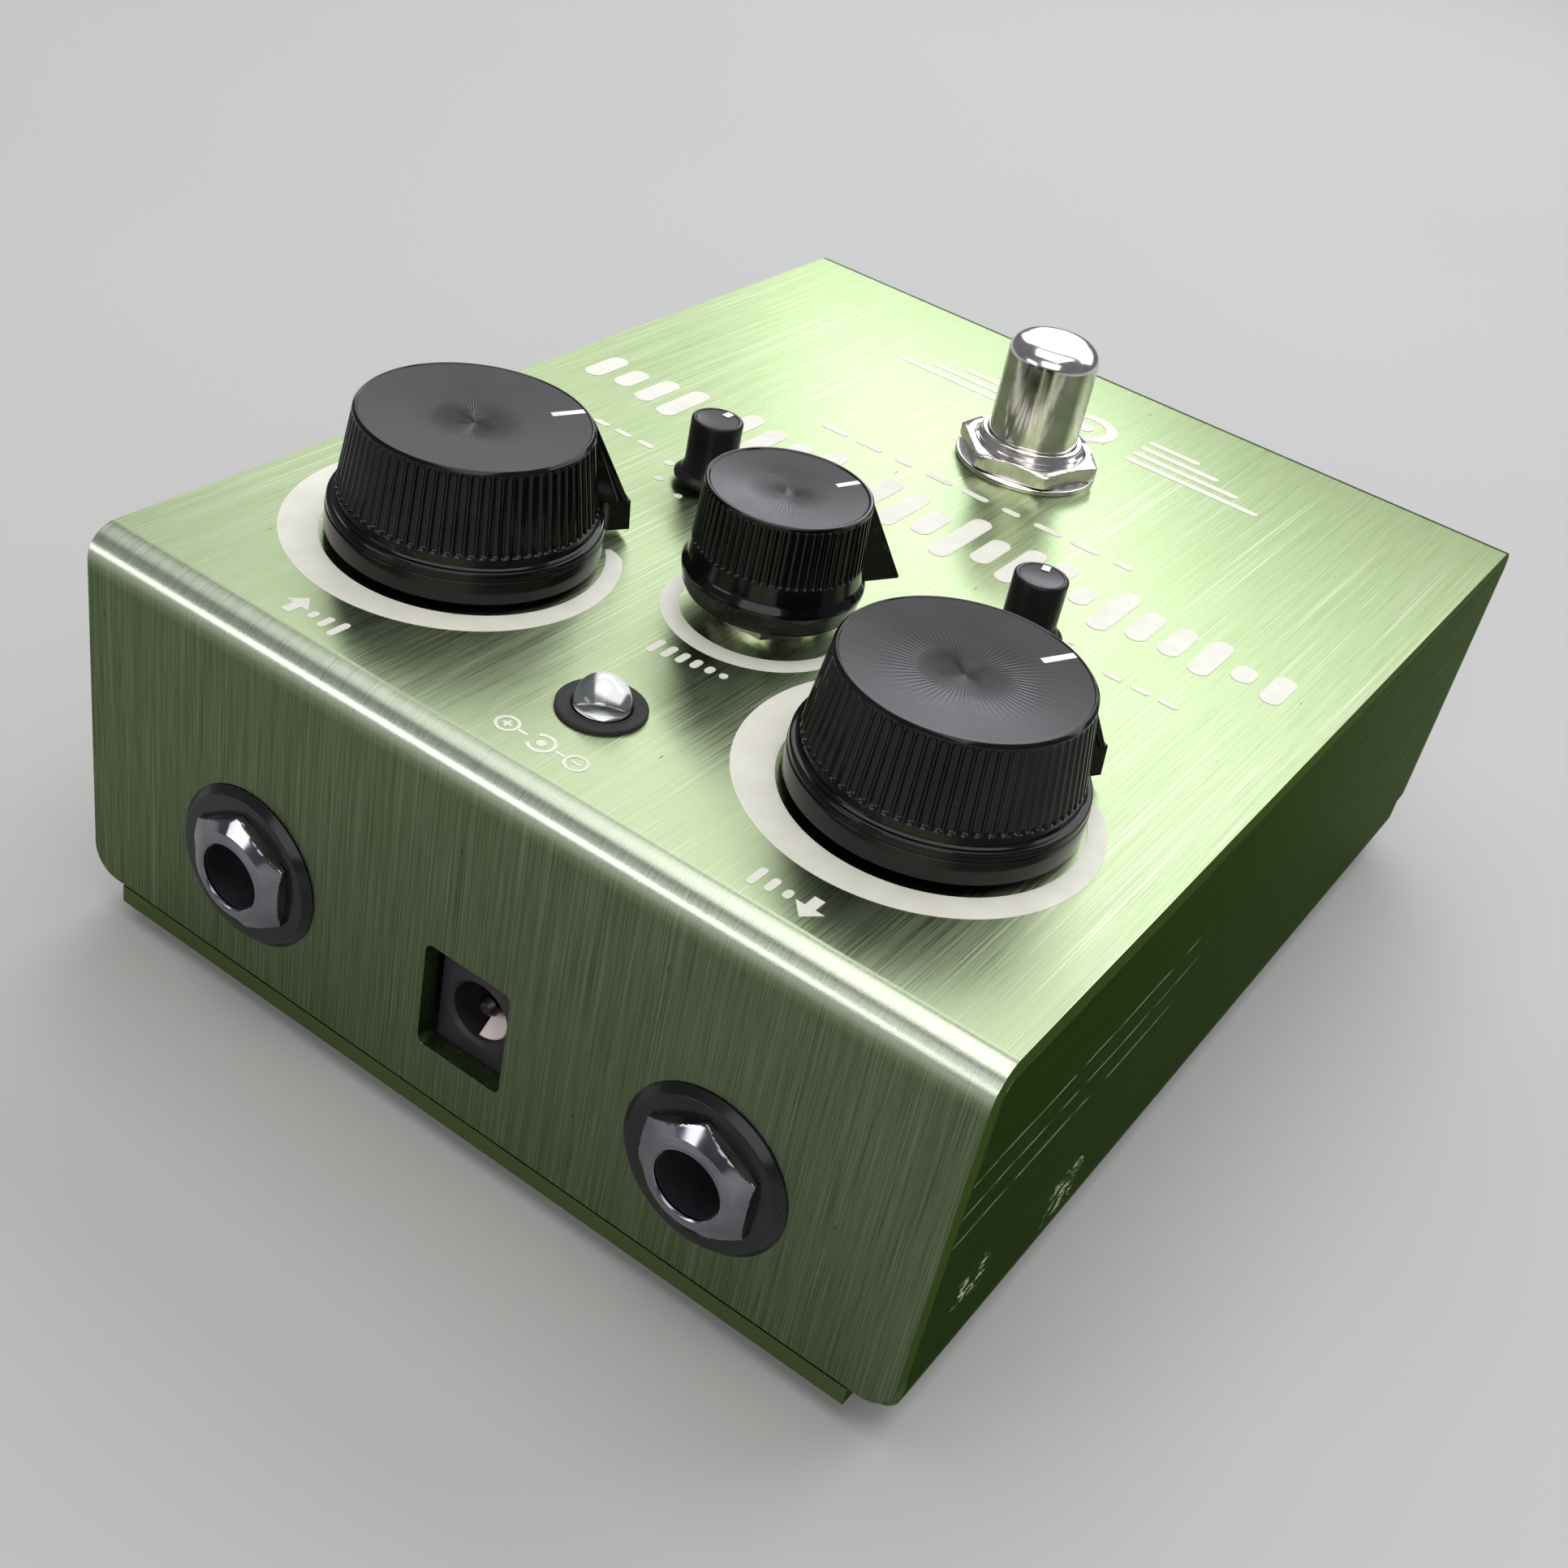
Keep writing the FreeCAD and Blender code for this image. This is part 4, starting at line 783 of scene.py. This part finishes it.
def is_top(face, place, reach):
    """Whether a face lies on the knob's dished face, inside its rim."""
    middle = face.calc_center_median()
    away = math.hypot(middle.x - place[0][3], middle.y - place[1][3])
    return face.normal.z > 0.9 and away < reach and middle.z > PANEL + 11.0


def flute_rings(start, end):
    """Heights that follow the rounded ends of the flutes."""
    length = end[1] - start[1]
    ends = (0.0, 0.06, 0.14, 0.24, 0.35, 0.46)
    shares = [part / length for part in ends] + [0.35, 0.65] + [1 - part / length for part in reversed(ends)]
    return between(start, end, shares)


KNOB_CAVITY = [(0, 10.5), (3.02, 10.5), (3.02, 4.4), (6.4, 4.4)]


def make_main_knobs():
    skirt, band, crown, rim, height = 12.97, 12.15, 11.0, 10.62, 13.0
    dish = 0.75
    lower = rounded([
        (6.4, 0.85), (skirt, 0.85, 0.1), (skirt, 3.05, 0.1), (skirt - 0.16, 3.1, 0.03),
        (skirt - 0.16, 3.2, 0.03), (skirt - 0.05, 3.3, 0.1), (skirt - 0.12, 3.95, 0.25),
        (band + 0.25, 4.0, 0.08), (band + 0.02, 4.12, 0.08), (band, 4.5),
    ])
    face_start, face_end = (rim - 0.22, height - 0.08), (0.3, height - dish + 0.01)
    upper = rounded([(crown, 12.62), (crown, height - 0.27, 0.06), (crown - 0.27, height, 0.06),
                     (rim, height, 0.05), (rim - 0.1, height - 0.07, 0.02), face_start])
    upper += between(face_start, face_end, (0.02, 0.2, 0.4, 0.6, 0.8, 1.0)) + [(0, height - dish)]
    profile = [*KNOB_CAVITY, *lower, *flute_rings((band, 4.95), (crown, 12.6)), *upper]
    slab = [(9.0, 2.6), (15.86, 2.6), (15.86, 3.6), (11.05, 12.66), (9.0, 12.2)]
    face_slope = (dish - 0.07) / (rim - 0.1)
    line = {"face": rim - 0.12, "width": 0.72, "points": [
        (radius, height - dish + 0.01 + face_slope * radius) for radius in (7.3, 9.0, rim - 0.14)]}
    for name in ("gain", "level"):
        make_knob(f"{name}_fluted_knob", f"{name}_knob", f"{name}_shaft", f"{name}_control", -120.0, profile,
                  (72, 0.3, 4.95, 12.62), (4.05, 16.2, 15.86, 1.4), slab, 2.8, line)


def make_tone_knob():
    crown, height, dish = 7.75, 13.4, 0.55
    lower = rounded([
        (6.4, 2.5), (8.0, 2.5, 0.08), (8.0, 2.95, 0.06), (8.3, 3.1, 0.06), (8.35, 3.5, 0.06), (8.6, 4.6, 0.2),
        (8.58, 4.95, 0.1), (8.14, 5.6, 0.7), (8.06, 7.1),
    ])
    face_start, face_end = (crown - 0.6, height - 0.11), (1.0, height - dish + 0.03)
    upper = rounded([(crown, 13.1), (crown, height - 0.12, 0.08), (crown - 0.14, height, 0.08),
                     (crown - 0.32, height, 0.06), (crown - 0.5, height - 0.1, 0.03), face_start])
    upper += between(face_start, face_end, (0.02, 0.25, 0.5, 0.75, 1.0))
    upper += [(0.5, height - dish), (0, height - dish)]
    profile = [*KNOB_CAVITY, *lower, *flute_rings((8.05, 7.3), (crown, 13.05)), *upper]
    slab = [(6.8, 3.15), (13.3, 3.15), (13.3, 3.42), (7.8, 13.1), (6.8, 12.4)]
    slope = (dish - 0.1) / (crown - 2.0)
    line = {"face": crown - 0.5, "width": 0.6, "points": [
        (radius, height - 0.085 - slope * (crown - 0.45 - radius)) for radius in (4.9, 6.2, crown - 0.52)]}
    make_knob("tone_fluted_knob", "tone_knob", "tone_shaft", "tone_control", -118.0, profile,
              (66, 0.22, 7.3, 13.08), (0.0, 13.3, 13.3, 1.2), slab, 2.4, line)


def make_trim_knobs():
    radius, height = 2.68, 7.25
    profile = rounded([
        (0, 5.85), (1.52, 5.85), (1.52, 0.6), (3.45, 0.6, 0.1), (3.6, 0.75, 0.1), (3.6, 1.05, 0.15),
        (radius + 0.3, 1.5, 0.4), (radius, 2.4, 0.5), (radius, height, 0.3), (radius - 0.45, height, 0.06),
        (radius - 0.55, height - 0.06, 0.05), (0, height - 0.16),
    ])
    for side, pointer, spot in zip(("left", "right"), (-75.0, -92.0), TRIM_CENTRES):
        place = on_panel(*spot, pointer)
        body = f"{side}_trim_control"
        make_piece(f"{side}_trim_cap", moved(turned(profile), place), (KNOB_SATIN,), body,
                   (f"{side}_trim_knob",))
        dot = block((1.15, 0.8, 0.06), (1.75, 0, height - 0.045), 0.02)
        make_piece(f"{side}_trim_mark", moved(dot, place), (POINTER_WHITE,), body)


# ---- lamp and foot switch

def make_lamp():
    place = on_panel(*LAMP)
    top = high("led_bezel").z - PANEL
    bezel = rounded([(2.62, -4.0), (3.1, -4.0, 0.1), (3.1, 0.0), (4.04, 0.0, 0.03), (4.04, top - 0.02, 0.22),
                     (3.2, top, 0.12), (2.75, top - 0.08, 0.12), (2.62, top - 0.3)])
    make_piece("lamp_grommet", moved(turned(bezel, closed=True), place), (RUBBER,), ROOT,
               ("led_bezel",))

    radius, dome = 2.5, 0.78
    cap = [(radius * math.cos(angle), dome + radius * math.sin(angle)) for angle in even_angles(64)[:16]]
    lens = [(0, -5.2), (2.9, -5.2), (2.9, -4.2), (radius, -4.15), *cap, (0, dome + radius)]
    make_piece("lamp_lens", moved(turned(lens, even_angles(72)), place), (RESIN,), ROOT,
               ("status_led",), crease=60)
    cup = rounded([(0, -0.75), (0.3, -0.75, 0.1), (1.6, -0.45, 0.3), (2.4, 0.35), (2.4, -1.4), (0, -1.4)])
    make_piece("lamp_cup", moved(turned(cup, even_angles(56)), place), (LAMP_BACK,), ROOT)


def hexagonal(profile, across_flats, corner_angle):
    """A turned shape held inside a hexagon, as a nut is."""
    first = math.radians(corner_angle)
    sixth = math.pi / 3

    def held_in(radius, height, angle):
        return min(radius, across_flats / 2 / math.cos((angle - first) % sixth - sixth / 2))

    angles = sorted((angle + first) % FULL_TURN for angle in even_angles(96))
    return turned(profile, angles, held_in, closed=True)


def chamfer_rings(inner, outer, top, drop, count=8):
    """Rings of a nut's shallow cone, from its outer edge up to its face."""
    return between((outer, top - drop), (inner, top), [step / count for step in range(count + 1)])


def make_footswitch():
    place = on_panel(*SWITCH)
    washer = rounded([(6.06, 0, 0.05), (8.0, 0, 0.08), (8.0, 0.5, 0.16), (6.06, 0.5, 0.1)], closed=True)
    make_piece("switch_washer", moved(turned(washer, closed=True), place), (CHROME,), ROOT,
               ("footswitch_washer",))
    bottom, top = 0.5, 2.45
    nut = [(6.06, bottom), *chamfer_rings(7.0, 8.2, bottom, -0.3)[::-1],
           *chamfer_rings(7.0, 8.2, top, 0.42), (6.4, top), (6.06, top - 0.3)]
    make_piece("switch_nut", moved(hexagonal(nut, 14.0, 12.0), place), (CHROME,), ROOT,
               ("footswitch_nut",), crease=24)

    bushing_base = low("footswitch_bushing").z - PANEL
    thread = []
    turns, thread_bottom, thread_top = 14, -6.4, 3.15
    for step in range(turns):
        height = thread_bottom + (thread_top - thread_bottom) * step / turns
        thread += [(5.72, height), (5.98, height + 0.28), (5.98, height + 0.36)]
    bushing = [(5.08, bushing_base), (7.5, bushing_base), (7.5, bushing_base + 1.2),
               (5.9, bushing_base + 1.25), *thread,
               *rounded([(5.72, 3.15), (5.72, 3.6, 0.2), (5.2, 3.6, 0.1), (5.08, 3.45)])]
    make_piece("switch_bushing", moved(turned(bushing, closed=True), place), (CHROME,), ROOT,
               ("footswitch_bushing",))

    top = high("footswitch_button").z - PANEL
    bottom = low("footswitch_button").z - PANEL
    button = rounded([(0, bottom), (2.0, bottom, 0.3), (2.0, -2.2), (5.0, -2.2, 0.2), (5.0, top, 2.0),
                      (0, top)], steps=14)
    make_piece("switch_button", moved(turned(button), place), (CHROME,), "footswitch_plunger",
               ("footswitch_button",))


# ---- connectors on the rear wall

def make_jacks():
    """The washers and nuts of both jacks, whose own axis points out of the rear wall."""
    washers, nuts = [], []
    thickness = 0.84
    washer = rounded([(4.7, 0, 0.05), (WASHER_RADIUS, 0, 0.06), (WASHER_RADIUS, 0.16, 0.06),
                      (WASHER_RADIUS - 0.7, thickness, 0.16), (4.7, thickness, 0.1)], closed=True)
    nut = [(4.56, 0.0), *chamfer_rings(5.9, 6.5, 0.0, -0.15, 4)[::-1],
           *chamfer_rings(4.4, 6.5, 1.6, 1.2, 14),
           *rounded([(4.3, 1.62), (3.95, 1.76, 0.08), (3.5, 1.76, 0.08), (3.32, 1.62, 0.05), (3.32, 1.42)]),
           (4.56, 1.42)]
    for x in JACKS:
        stand = Matrix.Translation((x, HALF_DEPTH, JACK_HEIGHT)) @ Matrix.Rotation(-math.pi / 2, 4, "X")
        washers.append(moved(turned(washer, closed=True), stand))
        on_washer = stand @ Matrix.Translation((0, 0, thickness))
        nuts.append(moved(hexagonal(nut, 11.0, 90.0), on_washer))
    make_piece("jack_washer_pair", joined(*washers), (WASHER_BLACK,), ROOT,
               ("jack_washers",))

    def is_worn(face):
        return abs(face.normal.y) < 0.25 and face.calc_center_median().y < HALF_DEPTH + 1.9

    make_piece("jack_nut_pair", joined(*nuts), (DARK_CHROME, WORN_CHROME), ROOT, ("jack_nuts",),
               paint=lambda face: int(is_worn(face)), crease=24)


def make_inlet():
    """The DC inlet's plastic body, and the spring contact in its bore."""
    middle, corner = centre("dc_socket"), high("dc_socket")
    body = block(2 * (corner - middle), middle, 0.25)
    axis = (middle.x, corner.y, 15.5)
    stand = Matrix.Translation(axis) @ Matrix.Rotation(math.pi / 2, 4, "X")
    mouth = turned([(0, -1), (3.5, -1), (3.5, 0), (3.1, 0.35), (3.1, 9.5), (0, 9.5)], even_angles(72))
    pin_hole = turned([(0, 9), (1.08, 9), (1.08, 12.6), (0, 12.6)], even_angles(32))
    body = cut_away(cut_away(body, moved(mouth, stand)), moved(pin_hole, stand))
    make_piece("inlet_body", body, (HOUSING_BLACK,), ROOT, ("dc_socket",))

    pin = rounded([(0, 0.9), (0.6, 0.95, 0.1), (1.05, 1.5, 0.2), (1.05, 12.4), (0, 12.4)])
    make_piece("inlet_pin", moved(turned(pin, even_angles(40)), stand), (PIN_METAL_PAINTED_SHADE,), ROOT,
               ("dc_pin",))

    angles = [math.radians(222) + 0.85 * (part - 4) / 4 for part in range(9)]
    rows = []
    for depth, radius in rounded([(0.7, 2.95), (2.5, 1.35, 1.2), (9.0, 2.6)], steps=8):
        rows.append([(radius * math.cos(angle), radius * math.sin(angle), depth) for angle in angles])
    leaf = woven(rows)
    leaf = with_modifiers(leaf, ("SOLIDIFY", {"thickness": 0.2, "offset": 0.0}))
    make_piece("inlet_leaf", moved(leaf, stand), (LEAF_METAL,), ROOT, ("dc_contact",))


# ---- printing on the panel

class Ink:
    """Flat shapes printed on the panel, in one mesh."""

    THICKNESS = 0.035

    def __init__(self):
        self.mesh = bmesh.new()

    def shape(self, points):
        self.mesh.faces.new([self.mesh.verts.new((x, y, 0)) for x, y in points])

    def band(self, inner, outer, closed=False):
        """A strip between two lines of as many points."""
        pairs = [[self.mesh.verts.new((x, y, 0)) for x, y in pair] for pair in zip(inner, outer)]
        steps = list(zip(pairs, pairs[1:]))
        if closed:
            steps.append((pairs[-1], pairs[0]))
        for one, other in steps:
            self.mesh.faces.new((one[0], one[1], other[1], other[0]))

    def sweep(self, x, y, angles, inner, outer_at, closed=False):
        """A band round (x, y), whose outer radius may change with the angle."""
        turns = [Vector((math.cos(angle), math.sin(angle))) for angle in angles]
        middle = Vector((x, y))
        self.band([middle + inner * turn for turn in turns],
                  [middle + outer_at(angle) * turn for angle, turn in zip(angles, turns)], closed)

    def ring(self, x, y, inner, outer, start=0.0, end=360.0, count=48):
        """A ring or an arc of even width, angles in degrees."""
        whole = end - start >= 360
        angles = [math.radians(start + (end - start) * step / count) for step in range(count + (not whole))]
        self.sweep(x, y, angles, inner, lambda angle: outer, whole)

    def bar(self, x, y, length, width, turn=0.0):
        """A bar with round ends, turned by an angle in degrees."""
        half, radius = length / 2 - width / 2, width / 2
        points = []
        for side in (1, -1):
            for step in range(9):
                angle = math.pi * (step / 8 - 0.5)
                points.append((side * (half + radius * math.cos(angle)), side * radius * math.sin(angle)))
        spin = Matrix.Rotation(math.radians(turn), 2)
        self.shape([Vector((x, y)) + spin @ Vector(point) for point in points])

    def disc(self, x, y, radius, count=32):
        self.shape(circle_outline(radius, x, y, count))

    def raised(self):
        """The printed shapes as thin solids that stand on the panel."""
        mesh = self.mesh
        grown = bmesh.ops.extrude_face_region(mesh, geom=mesh.faces[:])["geom"]
        bmesh.ops.translate(mesh, verts=pick_verts(grown), vec=(0, 0, self.THICKNESS))
        bmesh.ops.recalc_face_normals(mesh, faces=mesh.faces)
        return moved(mesh, Matrix.Translation((0, 0, PANEL)))


def swept_ring(ink, x, y, inner, narrow, wide):
    """The ring under a large knob, which widens clockwise from the knob's lowest setting."""
    start, sweep, count = math.radians(225), math.radians(270), 120

    def outer(angle):
        share = (start - angle) / sweep
        taper = min(1.0, (share + 0.004) / 0.03) ** 0.5
        return inner + (narrow + (wide - narrow) * share - inner) * taper

    ink.sweep(x, y, [start - sweep * step / count for step in range(count + 1)], inner, outer)


def crescent(ink, x, y, inner, narrow, wide):
    """The ring under the tone knob, widest at the rear."""
    def outer(angle):
        return narrow + (wide - narrow) * (0.5 + 0.5 * math.cos(angle - math.pi / 2)) ** 0.8

    ink.sweep(x, y, even_angles(96), inner, outer, closed=True)


def make_printing():
    """Rings round the controls, and plain symbols where the panel is lettered."""
    ink = Ink()
    for place in KNOB_CENTRES[:2]:
        swept_ring(ink, *place, 13.4, 14.9, 18.2)
    crescent(ink, *KNOB_CENTRES[2], 8.14, 8.6, 10.2)

    # arrows for the signal's way in and out, beside each jack, and the inlet's polarity
    for side, towards in ((1, -1), (-1, 1)):
        middle = side * 25.6
        for step, length in enumerate((2.6, 1.9, 1.2)):
            ink.bar(middle - side * (3.1 - 1.5 * step), 55.4, length, 0.75, 90)
        ink.shape([(middle + side * 2.0 + 1.45 * dx, 55.4 + 1.35 * towards * dy) for dx, dy in (
            (-0.34, -1), (0.34, -1), (0.34, 0.05), (0.95, 0.05), (0, 1.2), (-0.95, 0.05), (-0.34, 0.05))])
    ink.ring(0, 54.8, 1.0, 1.35, 40, 320)
    ink.disc(0, 54.8, 0.45)
    for side in (-1, 1):
        ink.bar(side * 2.05, 54.8, 1.1, 0.3)
        ink.ring(side * 3.7, 54.8, 0.85, 1.15)
    ink.bar(-3.7, 54.8, 0.95, 0.28)
    ink.shape([(3.7 + 0.48 * dx, 54.8 + 0.48 * dy) for dx, dy in (
        (-1, -0.3), (-0.3, -0.3), (-0.3, -1), (0.3, -1), (0.3, -0.3), (1, -0.3),
        (1, 0.3), (0.3, 0.3), (0.3, 1), (-0.3, 1), (-0.3, 0.3), (-1, 0.3))])

    # rising bars for the tone control
    for step in range(6):
        height = 0.9 + 0.34 * step
        ink.bar(-3.9 + 1.4 * step, 34.2 + height / 2, height, 0.78, 90)

    # a pattern of bars like a waveform, in place of the name
    bars = 24
    for step in range(bars):
        share = step / (bars - 1)
        swell = 0.45 + 0.55 * math.sin(math.pi * share) ** 0.7
        height = 2.6 + 8.6 * swell * abs(math.sin(1.1 + step * 1.93)) ** 0.8
        ink.bar(-41.0 + 84.0 * share, -6.4, height, 2.3, 90)
    for step in range(9):
        ink.bar(-19.0 + 4.6 * step, -16.0, 3.4 if step % 3 else 2.2, 1.0)

    # dots round the trim controls, and a short row of dashes beside each
    for x, y in TRIM_CENTRES:
        side = 1 if x > 0 else -1
        for step in range(7):
            angle = math.radians(225 - 45 * step)
            ink.disc(x + 5.0 * math.cos(angle), y + 5.0 * math.sin(angle), 0.32 + 0.05 * step, 16)
        for step in range(3):
            ink.bar(side * (28.4 + 3.0 * step), 5.0, 2.0, 0.8)

    # a plain ring between tapering lines, near the player's edge
    ink.ring(0, -43.2, 2.6, 4.0)
    ink.disc(0, -43.2, 1.2)
    for side in (-1, 1):
        for step in range(4):
            length = 17.0 - 3.4 * step
            ink.bar(side * (7.0 + length / 2), -40.2 - 2.1 * step, length, 1.0)
    make_piece("panel_print", ink.raised(), (PRINT,), ROOT)


# ---- stage

def make_floor():
    mesh = bmesh.new()
    bmesh.ops.create_grid(mesh, x_segments=2, y_segments=2, size=6.0)
    floor = add_object("floor", mesh_data("floor", mesh))
    paint = Paint("floor", (0.5, 0.5, 0.49), 0.75)
    cloud = paint.noise((0.004, 0.004, 0.004), 2)
    paint.set("Base Color", paint.mix(cloud, (0.49, 0.49, 0.48), (0.54, 0.54, 0.53)))
    floor.data.materials.append(paint.material)


def add_light(name, azimuth, elevation, distance, size, power, colour=(1, 1, 1)):
    """A soft square lamp that faces the pedal; angles in degrees round it, sizes in metres."""
    data = bpy.data.lights.new(name, "AREA")
    data.shape = "RECTANGLE"
    data.size, data.size_y = size
    data.energy = power
    data.color = colour
    lamp = add_object(name, data)
    turn, lift = math.radians(azimuth), math.radians(elevation)
    away = Vector((math.cos(lift) * math.cos(turn), math.cos(lift) * math.sin(turn), math.sin(lift)))
    target = Vector((0, 0, 0.03))
    lamp.location = target + away * distance
    lamp.rotation_euler = (-away).to_track_quat("-Z", "Y").to_euler()


def make_lights():
    world = bpy.data.worlds.new("world")
    world.use_nodes = True
    background = world.node_tree.nodes["Background"]
    background.inputs[0].default_value = (0.80, 0.84, 0.90, 1)
    background.inputs[1].default_value = 0.22
    bpy.context.scene.world = world
    add_light("window_behind", -88, 40, 0.9, (1.7, 0.62), 6.4, (0.98, 0.985, 1.0))
    add_light("low_window", -66, 25, 0.86, (0.2, 0.12), 0.36, (0.86, 0.91, 1.0))
    add_light("overhead", 90, 85, 0.8, (0.8, 0.8), 4.2, (1.0, 0.995, 0.98))
    add_light("fill", 112, 28, 1.0, (0.8, 0.6), 3.2, (1.0, 0.98, 0.96))
    add_light("rear_strip", 62, 10, 0.7, (0.3, 0.14), 0.66)


def make_camera():
    """The photograph's view: from behind the pedal, over its output side, leaning a little."""
    data = bpy.data.cameras.new("camera")
    data.sensor_fit = "HORIZONTAL"
    data.angle = math.radians(43.36)
    data.clip_start = 0.01
    camera = add_object("camera", data)
    forward = Vector((0.3804, -0.7242, -0.5751)).normalized()
    level = forward.cross(Vector((0, 0, 1))).normalized()
    upright = level.cross(forward)
    lean = math.radians(12.56)
    right = level * math.cos(lean) + upright * math.sin(lean)
    up = upright * math.cos(lean) - level * math.sin(lean)
    axes = Matrix((right, up, -forward)).transposed()
    camera.matrix_world = Matrix.Translation((-0.07903, 0.16197, 0.13705)) @ axes.to_4x4()
    bpy.context.scene.camera = camera


# ---- the whole scene

def finish_frame_nodes():
    """Give every CAD node that still shows the material of its slot."""
    slots = {part["node"]: part["material_slot"] for part in frame["record"]["subparts"]}
    for name, thing in frame["nodes"].items():
        material = SLOT_MATERIALS[slots[name]]
        if not thing.material_slots:
            thing.data.materials.append(material)
        for entry in thing.material_slots:
            entry.material = material


make_camera()
make_lights()
make_floor()
finish_frame_nodes()
make_cover()
make_tray()
make_feet()
make_main_knobs()
make_tone_knob()
make_trim_knobs()
make_lamp()
make_footswitch()
make_jacks()
make_inlet()
make_printing()

view = bpy.context.scene.view_settings
view.view_transform = "Standard"
